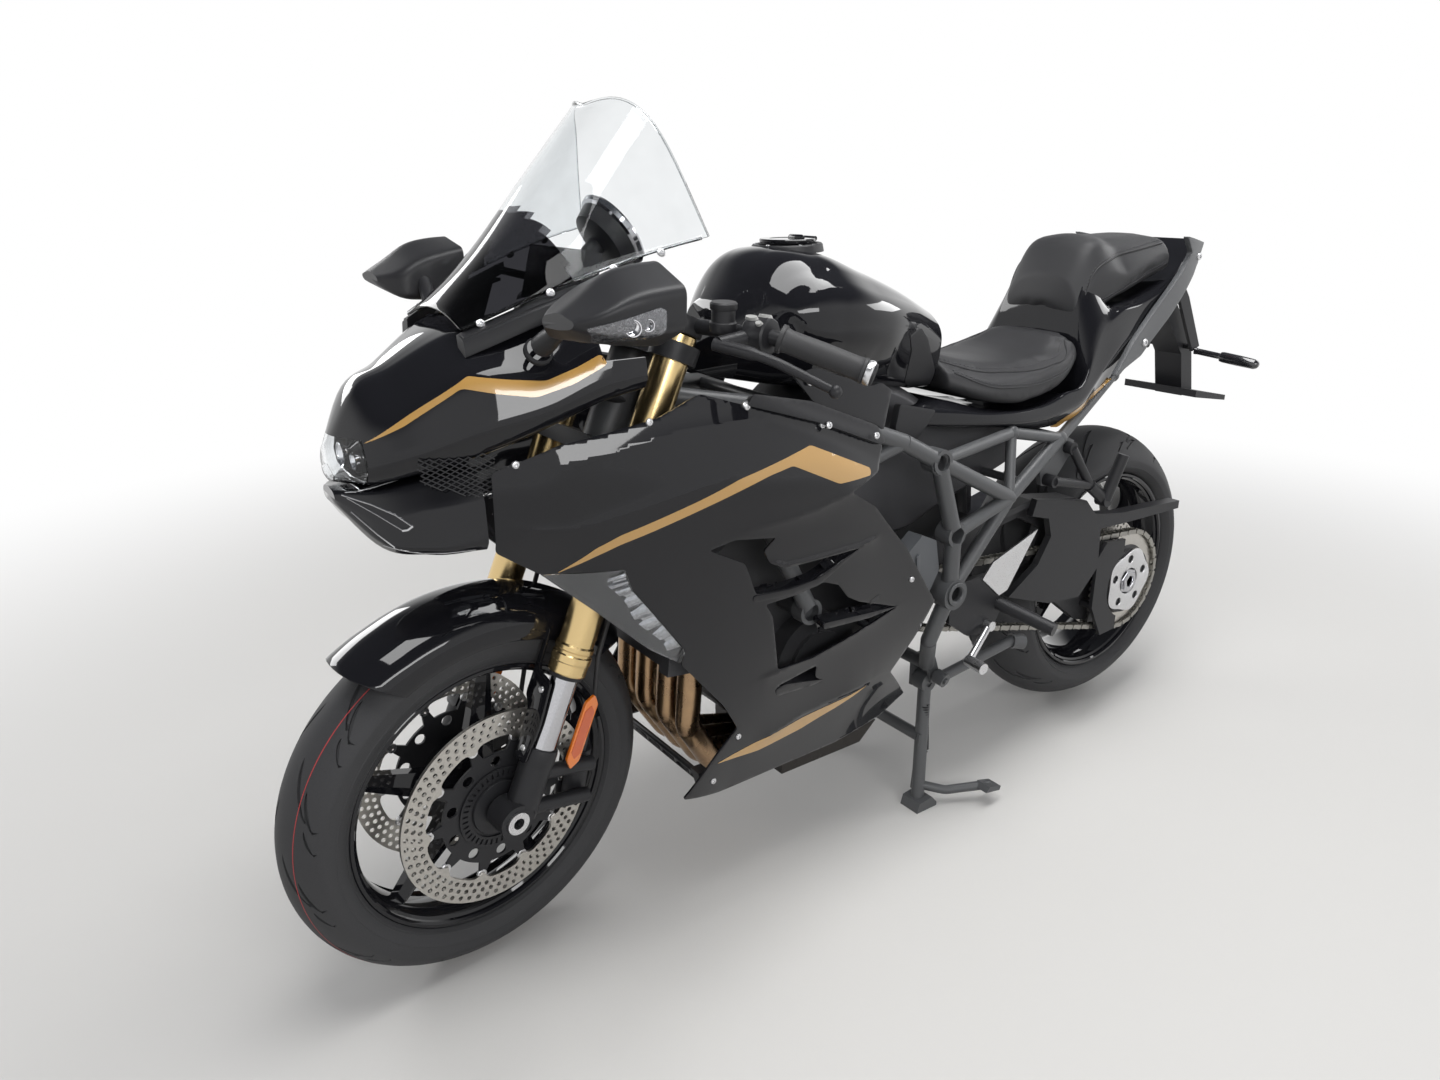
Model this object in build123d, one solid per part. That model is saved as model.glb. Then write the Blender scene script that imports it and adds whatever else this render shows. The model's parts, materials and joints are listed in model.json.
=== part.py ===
from build123d import *
from functools import cache
import math
import os

# Sport touring motorcycle on its centre stand, steering a little to the left.
# The nose points to -Y, the rider's left is +X, the floor is z = 0.

# Wheels and stance
WHEELBASE = 1480
OVERALL_LENGTH = 2175
FRONT_TYRE_R = 300
FRONT_TYRE_WIDTH = 120
FRONT_RIM_R = 228
FRONT_RIM_HALF = 50
REAR_TYRE_R = 320
REAR_TYRE_WIDTH = 190
REAR_RIM_R = 229
REAR_RIM_HALF = 82
REAR_LIFT = 12
RUNNING_GAP = 0.3
FRONT_AXLE_Y = -OVERALL_LENGTH / 2 + FRONT_TYRE_R
FRONT_AXLE_Z = FRONT_TYRE_R - 0.28
REAR_AXLE_Y = FRONT_AXLE_Y + WHEELBASE
REAR_AXLE_Z = REAR_TYRE_R + REAR_LIFT

# Steering
RAKE = 24.0
AXLE_OFFSET = 31.8
FORK_SETBACK = 16.0
FORK_HALF_SPAN = 106
STEER_REST = 8.3
STANCHION_R = 21.5
OUTER_TUBE_R = 27
AXLE_R = 13
DISC_X = 75
DISC_R = 160
DISC_THICK = 5

# Rear drive
CHAIN_X = 135
CHAIN_WIDTH = 20
CHAIN_HALF_HEIGHT = 8
SPROCKET_R = 107
FRONT_SPROCKET_R = 44
FRONT_SPROCKET = (-22, 455)
PIVOT = (71, 470)
ARM_INNER_X = 101
ARM_WALL = 20
ARM_OUTER_X = CHAIN_X + CHAIN_WIDTH / 2 + 3.7

# Bodywork
PANEL_WALL = 4
SCREEN_WALL = 4
BOSS_R = 22
BOSS_BORE_R = 15
FRAME_TUBE_R = 15
PIVOT_BOSS_R = 29
CROSS_BAR_R = 10
ENGINE_REAR_BAR = (98, 290)
PIVOT_PIN_R = 11.5
SHOCK_FOOT = (288, 424)
SHOCK_HEAD = (262, 643)
SHOCK_PIN_R = 8

# Stands
STAND_PIVOT = (103, 249)
STAND_LEG_R = 13
STAND_HALF_TOP = 112
STAND_HALF_FOOT = 150
COVER_X = ARM_OUTER_X + RUNNING_GAP

SIDE_PIVOT = Vector(145, 108, 268)
SIDE_AXIS = Vector(1.0, 0.10, -0.22)
SIDE_PIN_R = 6
STAND_PIN_R = 8
HEAD_R = 34

SIN_RAKE = math.sin(math.radians(RAKE))
COS_RAKE = math.cos(math.radians(RAKE))
STEER_DIR = Vector(0, SIN_RAKE, COS_RAKE)
FORWARD = Vector(0, -COS_RAKE, SIN_RAKE)
FRONT_AXLE = Vector(0, FRONT_AXLE_Y, FRONT_AXLE_Z)
STEER_POINT = FRONT_AXLE - FORWARD * AXLE_OFFSET
FORK_BASE = FRONT_AXLE - FORWARD * FORK_SETBACK
STEER_AXIS = Axis(STEER_POINT, STEER_DIR)


def steered(shape):
    """Turn a piece from straight ahead to the parked steering angle."""
    return shape.rotate(STEER_AXIS, STEER_REST)


def fork_point(side, height, ahead=0, out=0):
    """A point on a fork leg: height up the leg, ahead of it and out from it."""
    point = FORK_BASE + STEER_DIR * height + FORWARD * ahead
    return Vector(side * (FORK_HALF_SPAN + out), point.Y, point.Z)


def rod(start, end, radius):
    """Round bar between two points."""
    first = Vector(*start)
    run = Vector(*end) - first
    return extrude(Plane(origin=first, z_dir=run) * Circle(radius), amount=run.length)


def pipe(points, radius, bend):
    """Round bar along straight runs joined by tangent arcs."""
    path = FilletPolyline(*points, radius=bend)
    return sweep(Plane(origin=path @ 0, z_dir=path % 0) * Circle(radius), path=path)


def side_plate(outline, x_from, x_to):
    """Plate whose (y, z) outline is seen from the side."""
    face = make_face(Polyline(*[(x_from, y, z) for y, z in outline], close=True))
    return extrude(face, amount=x_to - x_from, dir=(1, 0, 0))


def lathe(profile, centre):
    """Ring turned about a line along X; the profile is (x, radius)."""
    y, z = centre
    face = make_face(Polyline(*[(x, y, z + r) for x, r in profile], close=True))
    return revolve(face, axis=Axis((0, y, z), (1, 0, 0)))


def side_point(along):
    """A point on the side stand's pivot line."""
    return SIDE_PIVOT + SIDE_AXIS.normalized() * along


def drum(x_from, x_to, centre, outer, inner=0):
    """Round drum or washer along X."""
    y, z = centre
    plane = Plane(origin=(x_from, y, z), z_dir=(1, 0, 0))
    ring = extrude(plane * Circle(outer), amount=x_to - x_from)
    if inner:
        ring -= extrude(plane * Circle(inner), amount=x_to - x_from)
    return ring


def joined(pieces):
    """Weld overlapping pieces to one."""
    whole = pieces[0]
    for piece in pieces[1:]:
        whole += piece
    return whole


def both_sides(shape):
    """A piece and its twin on the other side."""
    return [shape, mirror(shape, about=Plane.YZ)]


def on_side(side, point):
    """The left side's point, or its mirror image on the right."""
    x, y, z = Vector(*point)
    return Vector(side * x, y, z)


def block(x_span, y_span, z_span):
    """Box between six planes."""
    centre = [(low + high) / 2 for low, high in (x_span, y_span, z_span)]
    return Pos(*centre) * Box(*(high - low for low, high in (x_span, y_span, z_span)))


def inset(points, wall):
    """Move a closed outline inwards by the wall, corner by corner."""
    count = len(points)
    area = sum(points[i - 1][0] * points[i][1] - points[i][0] * points[i - 1][1] for i in range(count))
    turn = 1 if area > 0 else -1
    moved = []
    for i in range(count):
        a, b, c = points[i - 1], points[i], points[(i + 1) % count]
        d1 = (b[0] - a[0], b[1] - a[1])
        d2 = (c[0] - b[0], c[1] - b[1])
        l1, l2 = math.hypot(*d1), math.hypot(*d2)
        n1 = (-d1[1] / l1 * turn, d1[0] / l1 * turn)
        n2 = (-d2[1] / l2 * turn, d2[0] / l2 * turn)
        bis = (n1[0] + n2[0], n1[1] + n2[1])
        scale = wall * 2 / max(bis[0] ** 2 + bis[1] ** 2, 0.4)
        moved.append((b[0] + bis[0] * scale, b[1] + bis[1] * scale))
    return moved


def section(y, points):
    """Flat face across the machine at y."""
    return make_face(Polyline(*[(x, y, z) for x, z in points], close=True))


def full_width(half):
    """Mirror a half outline, given from the top centre to the bottom centre."""
    left = list(half)
    right = [(-x, z) for x, z in reversed(half) if x > 0]
    return left + right


def hull_loft(rows, wall=0, ruled=False):
    """Loft closed outlines given as (y, [(x, z) ...]), moved inwards by the wall."""
    faces = [section(y, inset(points, wall) if wall else points) for y, points in rows]
    return loft(faces, ruled=ruled)


def skin(rows, wall, ruled=False):
    """Thin curved panel: rows are (y, [(x, z) ...]) down its outer face."""
    faces = []
    for y, points in rows:
        inner = [(x - wall, z) for x, z in reversed(points)]
        faces.append(section(y, list(points) + inner))
    return loft(faces, ruled=ruled)


# Front wheel: five spokes, hollow rim, low tyre

def tyre(radius, width, rim_r, centre):
    """Rounded motorcycle tyre, seated on its rim."""
    y, z = centre
    half = width / 2
    shoulder_r = radius - half * 0.62
    bead_half = half * 0.78
    crown = ThreePointArc((-half, y, z + shoulder_r), (0, y, z + radius), (half, y, z + shoulder_r))
    right = ThreePointArc((half, y, z + shoulder_r), (half * 0.97, y, z + (shoulder_r + rim_r) / 2),
                          (bead_half, y, z + rim_r))
    left = ThreePointArc((-bead_half, y, z + rim_r), (-half * 0.97, y, z + (shoulder_r + rim_r) / 2),
                         (-half, y, z + shoulder_r))
    bed = Line((bead_half, y, z + rim_r), (-bead_half, y, z + rim_r))
    return revolve(make_face([crown, right, bed, left]), axis=Axis((0, y, z), (1, 0, 0)))


def rim(rim_r, half, centre, well):
    """Rim barrel: flanges outside, drop centre between them."""
    flange = 9
    bed = rim_r - 1
    outline = [(-half, rim_r - flange), (-half, bed), (half, bed), (half, rim_r - flange),
               (half * 0.45, well), (-half * 0.45, well)]
    return lathe(outline, centre)


def spokes(count, hub_r, rim_r, centre, x_from, x_to, root, tip, start=90):
    """Tapered spokes about an axle line."""
    y, z = centre
    blade = [(-root, hub_r), (root, hub_r), (tip, rim_r), (-tip, rim_r)]
    face = make_face(Polyline(*[(x_from, y + a, z + b) for a, b in blade], close=True))
    one = extrude(face, amount=x_to - x_from, dir=(1, 0, 0))
    axis = Axis((0, y, z), (1, 0, 0))
    return [one.rotate(axis, start + 360 / count * i) for i in range(count)]


FRONT_CENTRE = (FRONT_AXLE_Y, FRONT_AXLE_Z)
REAR_CENTRE = (REAR_AXLE_Y, REAR_AXLE_Z)
FRONT_HUB_R = 42
FRONT_HUB_HALF = 62
FRONT_WELL_R = 205


def make_front_tyre():
    return steered(tyre(FRONT_TYRE_R, FRONT_TYRE_WIDTH, FRONT_RIM_R, FRONT_CENTRE))


def make_front_wheel():
    parts = [rim(FRONT_RIM_R, FRONT_RIM_HALF, FRONT_CENTRE, FRONT_WELL_R)]
    parts += spokes(5, FRONT_HUB_R - 8, FRONT_WELL_R + 12, FRONT_CENTRE, -16, 16, 26, 15)
    parts.append(drum(-FRONT_HUB_HALF, FRONT_HUB_HALF, FRONT_CENTRE, FRONT_HUB_R))
    bore = drum(-FRONT_HUB_HALF, FRONT_HUB_HALF, FRONT_CENTRE, AXLE_R + RUNNING_GAP)
    return steered(joined(parts) - bore)


def brake_disc(x_mid, centre, outer, band, holes):
    """Drilled brake ring."""
    half = DISC_THICK / 2
    ring = drum(x_mid - half, x_mid + half, centre, outer, outer - band)
    y, z = centre
    for row, radius in enumerate((outer - band * 0.3, outer - band * 0.7)):
        for i in range(holes):
            angle = 2 * math.pi * (i + row / 2) / holes
            spot = (y + radius * math.cos(angle), z + radius * math.sin(angle))
            ring -= drum(x_mid - half, x_mid + half, spot, 3.6)
    return ring


def make_front_discs():
    ring = brake_disc(DISC_X, FRONT_CENTRE, DISC_R, 40, 26)
    inner, outer = DISC_X - 3, DISC_X + 1
    carrier = drum(inner, outer, FRONT_CENTRE, DISC_R - 44, 40)
    arms = spokes(8, DISC_R - 50, DISC_R - 36, FRONT_CENTRE, inner, outer, 7, 6, 90)
    hub = drum(FRONT_HUB_HALF, outer, FRONT_CENTRE, 46, AXLE_R + RUNNING_GAP)
    return [steered(disc) for disc in both_sides(joined([ring, carrier, hub] + arms))]


# Fork legs, lugs and the axle through them
LUG_TOP = 113
OUTER_TUBE_LOW = 232
LOWER_YOKE = 548
UPPER_YOKE = 716
YOKE_THICK = 26
STEM_R = 15
OUTER_TUBE_TOP = 756
LUG_R = 25
CALIPER_ARM_R = 11.7
CALIPER_R = 24
CALIPER_LOW = (10, -118)
CALIPER_TOP = (100, -98)
AXLE_HALF = 132


def make_fork_lugs():
    lugs = []
    for side in (1, -1):
        inner, outer = sorted((side * (FORK_HALF_SPAN - 20), side * (FORK_HALF_SPAN + 22)))
        eye = drum(inner, outer, FRONT_CENTRE, 27)
        leg = rod(fork_point(side, 4), fork_point(side, LUG_TOP), LUG_R)
        arm = rod(fork_point(side, 12, 0, 4), fork_point(side, 34, -118, 4), CALIPER_ARM_R)
        upper_arm = rod(fork_point(side, 70, 0, 4), fork_point(side, 88, -106, 4), CALIPER_ARM_R)
        stay = rod(fork_point(side, 78, -50, 5), fork_point(side, 140, -53, 9.5), 4)
        bore = drum(inner - 10, outer + 10, FRONT_CENTRE, AXLE_R + RUNNING_GAP)
        seat = sorted((side * (FORK_HALF_SPAN + 22), side * (FORK_HALF_SPAN + 40)))
        lug = joined([leg, eye, arm, upper_arm, stay]) - bore - drum(seat[0], seat[1], FRONT_CENTRE, 30)
        lug -= rod(fork_point(side, LUG_TOP - 60), fork_point(side, LUG_TOP), STANCHION_R)
        lugs.append(steered(lug))
    return lugs


def make_front_axle():
    spindle = drum(-AXLE_HALF, AXLE_HALF, FRONT_CENTRE, AXLE_R, AXLE_R - 4)
    head = drum(FORK_HALF_SPAN + 22 + RUNNING_GAP, AXLE_HALF, FRONT_CENTRE, 18, AXLE_R - 4)
    return steered(spindle + head)


def make_stanchions():
    low = LUG_TOP - 60 + RUNNING_GAP
    return [steered(rod(fork_point(side, low), fork_point(side, OUTER_TUBE_LOW + 60), STANCHION_R))
            for side in (1, -1)]


def make_fork_tubes():
    tubes = []
    for side in (1, -1):
        outer = rod(fork_point(side, OUTER_TUBE_LOW), fork_point(side, OUTER_TUBE_TOP), OUTER_TUBE_R)
        collar = rod(fork_point(side, OUTER_TUBE_LOW), fork_point(side, OUTER_TUBE_LOW + 34),
                     OUTER_TUBE_R + 3)
        bore = rod(fork_point(side, OUTER_TUBE_LOW), fork_point(side, OUTER_TUBE_LOW + 60 + RUNNING_GAP),
                   STANCHION_R + RUNNING_GAP)
        tubes.append(steered(outer + collar - bore))
    return tubes


def yoke(height):
    """Fork crown: an arm each way from the stem to the legs."""
    origin = FORK_BASE + STEER_DIR * height
    plane = Plane(origin=origin, x_dir=(1, 0, 0), z_dir=STEER_DIR)
    half = FORK_HALF_SPAN
    outline = [(-half, 34), (half, 34), (half, -34), (28, -48), (-28, -48), (-half, -34)]
    sign = 1 if (plane.y_dir.dot(FORWARD)) > 0 else -1
    face = make_face(Polyline(*[(x, sign * y) for x, y in outline], close=True))
    plate = extrude(plane * face, amount=YOKE_THICK)
    for side in (1, -1):
        plate += rod(fork_point(side, height), fork_point(side, height + YOKE_THICK), OUTER_TUBE_R + 10)
        plate -= rod(fork_point(side, height - 5), fork_point(side, height + YOKE_THICK + 5),
                     OUTER_TUBE_R + RUNNING_GAP)
    stem = STEER_POINT + STEER_DIR * ((origin - STEER_POINT).dot(STEER_DIR))
    collar = rod(stem, stem + STEER_DIR * YOKE_THICK, 34)
    return plate + collar


def make_yokes():
    lower = yoke(LOWER_YOKE)
    upper = yoke(UPPER_YOKE)
    base = STEER_POINT + STEER_DIR * ((FORK_BASE - STEER_POINT).dot(STEER_DIR))
    stem = rod(base + STEER_DIR * (LOWER_YOKE + 1), base + STEER_DIR * (UPPER_YOKE + YOKE_THICK + 8), STEM_R)
    return steered(joined([lower, stem, upper]))


def make_front_calipers():
    calipers = []
    for side in (1, -1):
        body = rod(fork_point(side, *CALIPER_LOW, -32), fork_point(side, *CALIPER_TOP, -32), CALIPER_R)
        plane = Plane(origin=(side * DISC_X, FRONT_AXLE_Y, FRONT_AXLE_Z), z_dir=(1, 0, 0))
        slot = extrude(plane * Circle(DISC_R + 8), amount=6, both=True)
        calipers.append(steered(body - slot))
    return calipers


# (out from the fork leg, height up it): the fender's side plates, bolted to the lugs' fronts
FENDER_SIDE = [(-37, 285), (-30, 285), (-28, 222), (5, 215), (9, 88), (-18, 88), (-24, 170), (-37, 182)]
FENDER_R = 331
FENDER_HALF = 72
FENDER_FRONT = 125
FENDER_REAR = 38


def make_front_fender():
    profile = [(-FENDER_HALF, 270), (-66, 306), (-38, FENDER_R - 5), (0, FENDER_R), (38, FENDER_R - 5),
               (66, 306), (FENDER_HALF, 270), (FENDER_HALF - 3, 270), (63, 303), (36, FENDER_R - 9),
               (0, FENDER_R - 4), (-36, FENDER_R - 9), (-63, 303), (3 - FENDER_HALF, 270)]
    y, z = FRONT_CENTRE
    face = make_face(Polyline(*[(x, y, z + r) for x, r in profile], close=True))
    axis = Axis((0, y, z), (1, 0, 0))
    arc = revolve(face, axis=axis, revolution_arc=FENDER_FRONT - FENDER_REAR)
    parts = [arc.rotate(axis, FENDER_REAR - 90)]
    ahead = LUG_R + RUNNING_GAP
    for side in (1, -1):
        corners = [fork_point(side, height, ahead, out) for out, height in FENDER_SIDE]
        parts.append(extrude(make_face(Polyline(*corners, close=True)), amount=4, dir=FORWARD))
    return steered(joined(parts))


BAR_R = 11
HOSE_R = 4
GRIP_R = 17
BAR_CLAMP = OUTER_TUBE_TOP + 14
GRIP_START = Vector(272, -430, 1000)
BAR_END = Vector(384, -362, 962)


def along_bar(side, share):
    """A point on the bar between its clamp and its grip."""
    root = fork_point(side, BAR_CLAMP)
    return root + (on_side(side, GRIP_START) - root) * share


def make_handlebars():
    bars = []
    for side in (1, -1):
        flip = lambda v: on_side(side, v)
        clamp_low = fork_point(side, OUTER_TUBE_TOP + RUNNING_GAP)
        clamp = rod(clamp_low, fork_point(side, OUTER_TUBE_TOP + 26), OUTER_TUBE_R + 4)
        bar = pipe([fork_point(side, BAR_CLAMP), flip(GRIP_START), flip(BAR_END)], BAR_R, 30)
        grip = rod(flip(GRIP_START), flip(BAR_END), GRIP_R)
        bars.append(steered(joined([clamp, bar, grip])))
    return bars


LEVER_ROOT = (226, -500, 992)
LEVER_BEND = (292, -476, 984)
LEVER_TIP = (376, -430, 948)


def make_hand_controls():
    """Switch boxes, levers and reservoirs, clamped on the bars."""
    pieces = []
    for side in (1, -1):
        flip = lambda v: on_side(side, v)
        box = rod(along_bar(side, 0.70), along_bar(side, 0.91), 26)
        perch = rod(along_bar(side, 0.78), flip(LEVER_ROOT), 11)
        lever = pipe([flip(LEVER_ROOT), flip(LEVER_BEND), flip(LEVER_TIP)], 6, 30)
        tip = Pos(*flip(LEVER_TIP)) * Sphere(9)
        neck = rod(flip((222, -474, 996)), flip((200, -466, 1016)), 7)
        pot = rod(flip((199, -466, 1008)), flip((198, -468, 1032)), 16)
        bore = rod(fork_point(side, BAR_CLAMP), flip(GRIP_START), BAR_R + RUNNING_GAP)
        pieces.append(steered(joined([box, perch, lever, tip, neck, pot]) - bore))
    return pieces


def make_brake_hoses():
    """Hose from each caliper up the back of its leg to the lower yoke."""
    hoses = []
    for side in (1, -1):
        points = [
            fork_point(side, CALIPER_TOP[0] + 2 * RUNNING_GAP, CALIPER_TOP[1], -14),
            fork_point(side, 180, -84, -10),
            fork_point(side, 260, -58, -8),
            fork_point(side, 420, -46, -6),
            fork_point(side, LOWER_YOKE - 60, -30, -42),
            fork_point(side, LOWER_YOKE - RUNNING_GAP, -30, -42),
        ]
        hoses.append(steered(pipe(points, HOSE_R, 24)))
    return hoses


# (ahead of the fork leg, height up it)
REFLECTOR = [(-53, 85), (-64, 99), (-64, 191), (-53, 205), (-42, 191), (-42, 99)]
REFLECTOR_OUT = 14


def make_reflectors():
    """Amber side reflectors behind the fork legs."""
    plates = []
    for side in (1, -1):
        corners = [fork_point(side, height, ahead, REFLECTOR_OUT) for ahead, height in REFLECTOR]
        plates.append(steered(extrude(make_face(Polyline(*corners, close=True)), amount=6, dir=(side, 0, 0))))
    return plates


# Rear wheel, carried on the left only, and its drive
REAR_HUB_R = 58
REAR_WELL_R = 206
REAR_BOLT_R = 30
REAR_AXLE_R = 22
REAR_DISC_R = 125
REAR_DISC_X = 84
NUT_END = 158
SPROCKET_THICK = 7
CARRIER_FACE = 150
HUB_RING_R = 76


def make_rear_tyre():
    return tyre(REAR_TYRE_R, REAR_TYRE_WIDTH, REAR_RIM_R, REAR_CENTRE)


def make_rear_wheel():
    parts = [rim(REAR_RIM_R, REAR_RIM_HALF, REAR_CENTRE, REAR_WELL_R)]
    parts += spokes(5, REAR_HUB_R - 8, REAR_WELL_R + 12, REAR_CENTRE, -34, -4, 30, 18)
    parts.append(drum(-60, REAR_DISC_X - 5.1, REAR_CENTRE, REAR_HUB_R))
    parts.append(drum(-74, -60, REAR_CENTRE, 30))
    spindle = drum(REAR_DISC_X - 6, CARRIER_FACE - 0.1, REAR_CENTRE, REAR_AXLE_R)
    return joined(parts + [spindle])


def make_rear_disc():
    ring = brake_disc(REAR_DISC_X, REAR_CENTRE, REAR_DISC_R, 36, 24)
    half = DISC_THICK / 2
    carrier = drum(REAR_DISC_X - 5, REAR_DISC_X + half, REAR_CENTRE, 92, REAR_AXLE_R + 0.1)
    return ring + carrier


def make_rear_sprocket():
    y, z = REAR_CENTRE
    half = SPROCKET_THICK / 2
    body = drum(CHAIN_X - half, CHAIN_X + half, REAR_CENTRE, SPROCKET_R)
    hub = drum(CHAIN_X - half, CARRIER_FACE, REAR_CENTRE, HUB_RING_R)
    for i in range(8):
        angle = 2 * math.pi * i / 8
        spot = (y + 50 * math.cos(angle), z + 50 * math.sin(angle))
        hub -= drum(CHAIN_X + half, CARRIER_FACE, spot, 14)
    nut = drum(CARRIER_FACE, NUT_END, REAR_CENTRE, 26, 14)
    return joined([body, hub, nut]) - drum(CHAIN_X - half, CARRIER_FACE, REAR_CENTRE, REAR_AXLE_R + 0.1)


# Single-sided swinging arm: inner wall, upper and lower ribs, pivot tube and hub carrier
ARM_OUTLINE = [(25, 500), (130, 560), (330, 588), (470, 566), (560, 500), (600, 420), (600, 250),
               (560, 262), (470, 330), (300, 395), (120, 425), (30, 440)]
ARM_WINDOW = [(150, 452), (150, 520), (330, 545), (400, 510), (380, 440), (300, 425)]


def make_swingarm():
    wall = side_plate(ARM_OUTLINE, ARM_INNER_X, ARM_INNER_X + ARM_WALL)
    wall -= side_plate(ARM_WINDOW, ARM_INNER_X, ARM_INNER_X + ARM_WALL)
    top = side_plate([(120, 548), (330, 575), (470, 552), (470, 566), (330, 588), (130, 560)],
                     ARM_INNER_X, ARM_OUTER_X)
    low = side_plate([(150, 425), (300, 402), (440, 352), (440, 366), (300, 418), (150, 440)],
                     ARM_INNER_X, CHAIN_X - 18)
    tube = drum(-110, ARM_INNER_X + ARM_WALL, PIVOT, 34, 12)
    hub = drum(ARM_INNER_X - 4, ARM_INNER_X + ARM_WALL, REAR_CENTRE, 96, REAR_AXLE_R + 2)
    bridge = side_plate([(60, 440), (60, 505), (230, 560), (230, 430)], -60, ARM_INNER_X)
    ear = [(222, 430), (304, 408), (304, 440), (222, 520)]
    ears = [side_plate(ear, *span) for span in ((-40, -26), (26, 40))]
    pin = drum(-40, 40, SHOCK_FOOT, SHOCK_PIN_R)
    bore = drum(-120, 200, PIVOT, PIVOT_PIN_R + RUNNING_GAP)
    return joined([wall, top, low, tube, hub, bridge, pin] + ears) - bore


COVER_OUTLINE = [(330, 592), (490, 560), (548, 500), (556, 400), (500, 345), (400, 356), (270, 402),
                 (300, 420), (352, 452), (385, 505), (372, 545), (320, 560)]


def make_swingarm_cover():
    return side_plate(COVER_OUTLINE, COVER_X, COVER_X + 14)


def make_hub_guard():
    outline = [(562, 300), (562, 415), (590, 446), (655, 440), (655, 228), (604, 225)]
    plate = side_plate(outline, COVER_X, COVER_X + 8)
    plate -= drum(COVER_X, COVER_X + 8, REAR_CENTRE, HUB_RING_R + 6)
    seat = ARM_INNER_X + ARM_WALL + RUNNING_GAP
    posts = [drum(seat, COVER_X, spot, 8) for spot in ((574, 395), (574, 300))]
    return joined([plate] + posts)


def make_chain_guard():
    outline = [(520, 520), (640, 500), (860, 486), (860, 468), (650, 474), (530, 480)]
    return side_plate(outline, ARM_INNER_X + ARM_WALL + RUNNING_GAP, COVER_X - 1)


def make_chain():
    """Drive chain as one closed band round both sprockets."""
    (y1, z1), (y2, z2) = FRONT_SPROCKET, REAR_CENTRE
    run = Vector(0, y2 - y1, z2 - z1)
    tilt = math.atan2(z2 - z1, y2 - y1)
    spread = math.acos((FRONT_SPROCKET_R - SPROCKET_R) / run.length)

    def outline(grow):
        r1, r2 = FRONT_SPROCKET_R + 4 + grow, SPROCKET_R + 4 + grow
        at = lambda c, r, a: (CHAIN_X, c[0] + r * math.cos(a), c[1] + r * math.sin(a))
        top, low = tilt + spread, tilt - spread
        back = tilt + math.pi
        up = Line(at(FRONT_SPROCKET, r1, top), at(REAR_CENTRE, r2, top))
        down = Line(at(REAR_CENTRE, r2, low), at(FRONT_SPROCKET, r1, low))
        rear = ThreePointArc(at(REAR_CENTRE, r2, top), at(REAR_CENTRE, r2, tilt), at(REAR_CENTRE, r2, low))
        front = ThreePointArc(at(FRONT_SPROCKET, r1, low), at(FRONT_SPROCKET, r1, back),
                              at(FRONT_SPROCKET, r1, top))
        return make_face([up, rear, down, front])

    width = CHAIN_WIDTH / 2
    outer = extrude(outline(CHAIN_HALF_HEIGHT), amount=width, dir=(1, 0, 0), both=True)
    return outer - extrude(outline(-CHAIN_HALF_HEIGHT + 5), amount=width, dir=(1, 0, 0), both=True)


def make_rear_caliper():
    body = side_plate([(640, 216), (700, 196), (760, 216), (750, 262), (650, 262)], 62, ARM_INNER_X - 4.3)
    return body - drum(REAR_DISC_X - 7, REAR_DISC_X + 7, REAR_CENTRE, REAR_DISC_R + 6)


# Trellis frame, engine and exhaust

FRAME_UP = (18, 727)
FRAME_MID = (66, 585)
FRAME_FRONT = (-262, 520)


GUSSET = [(385, 716), (432, 694), (424, 668), (372, 610), (342, 618), (330, 668)]
GUSSET_X = 158
PASSENGER_BOSSES = ((410, 684), (355, 628))


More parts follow.
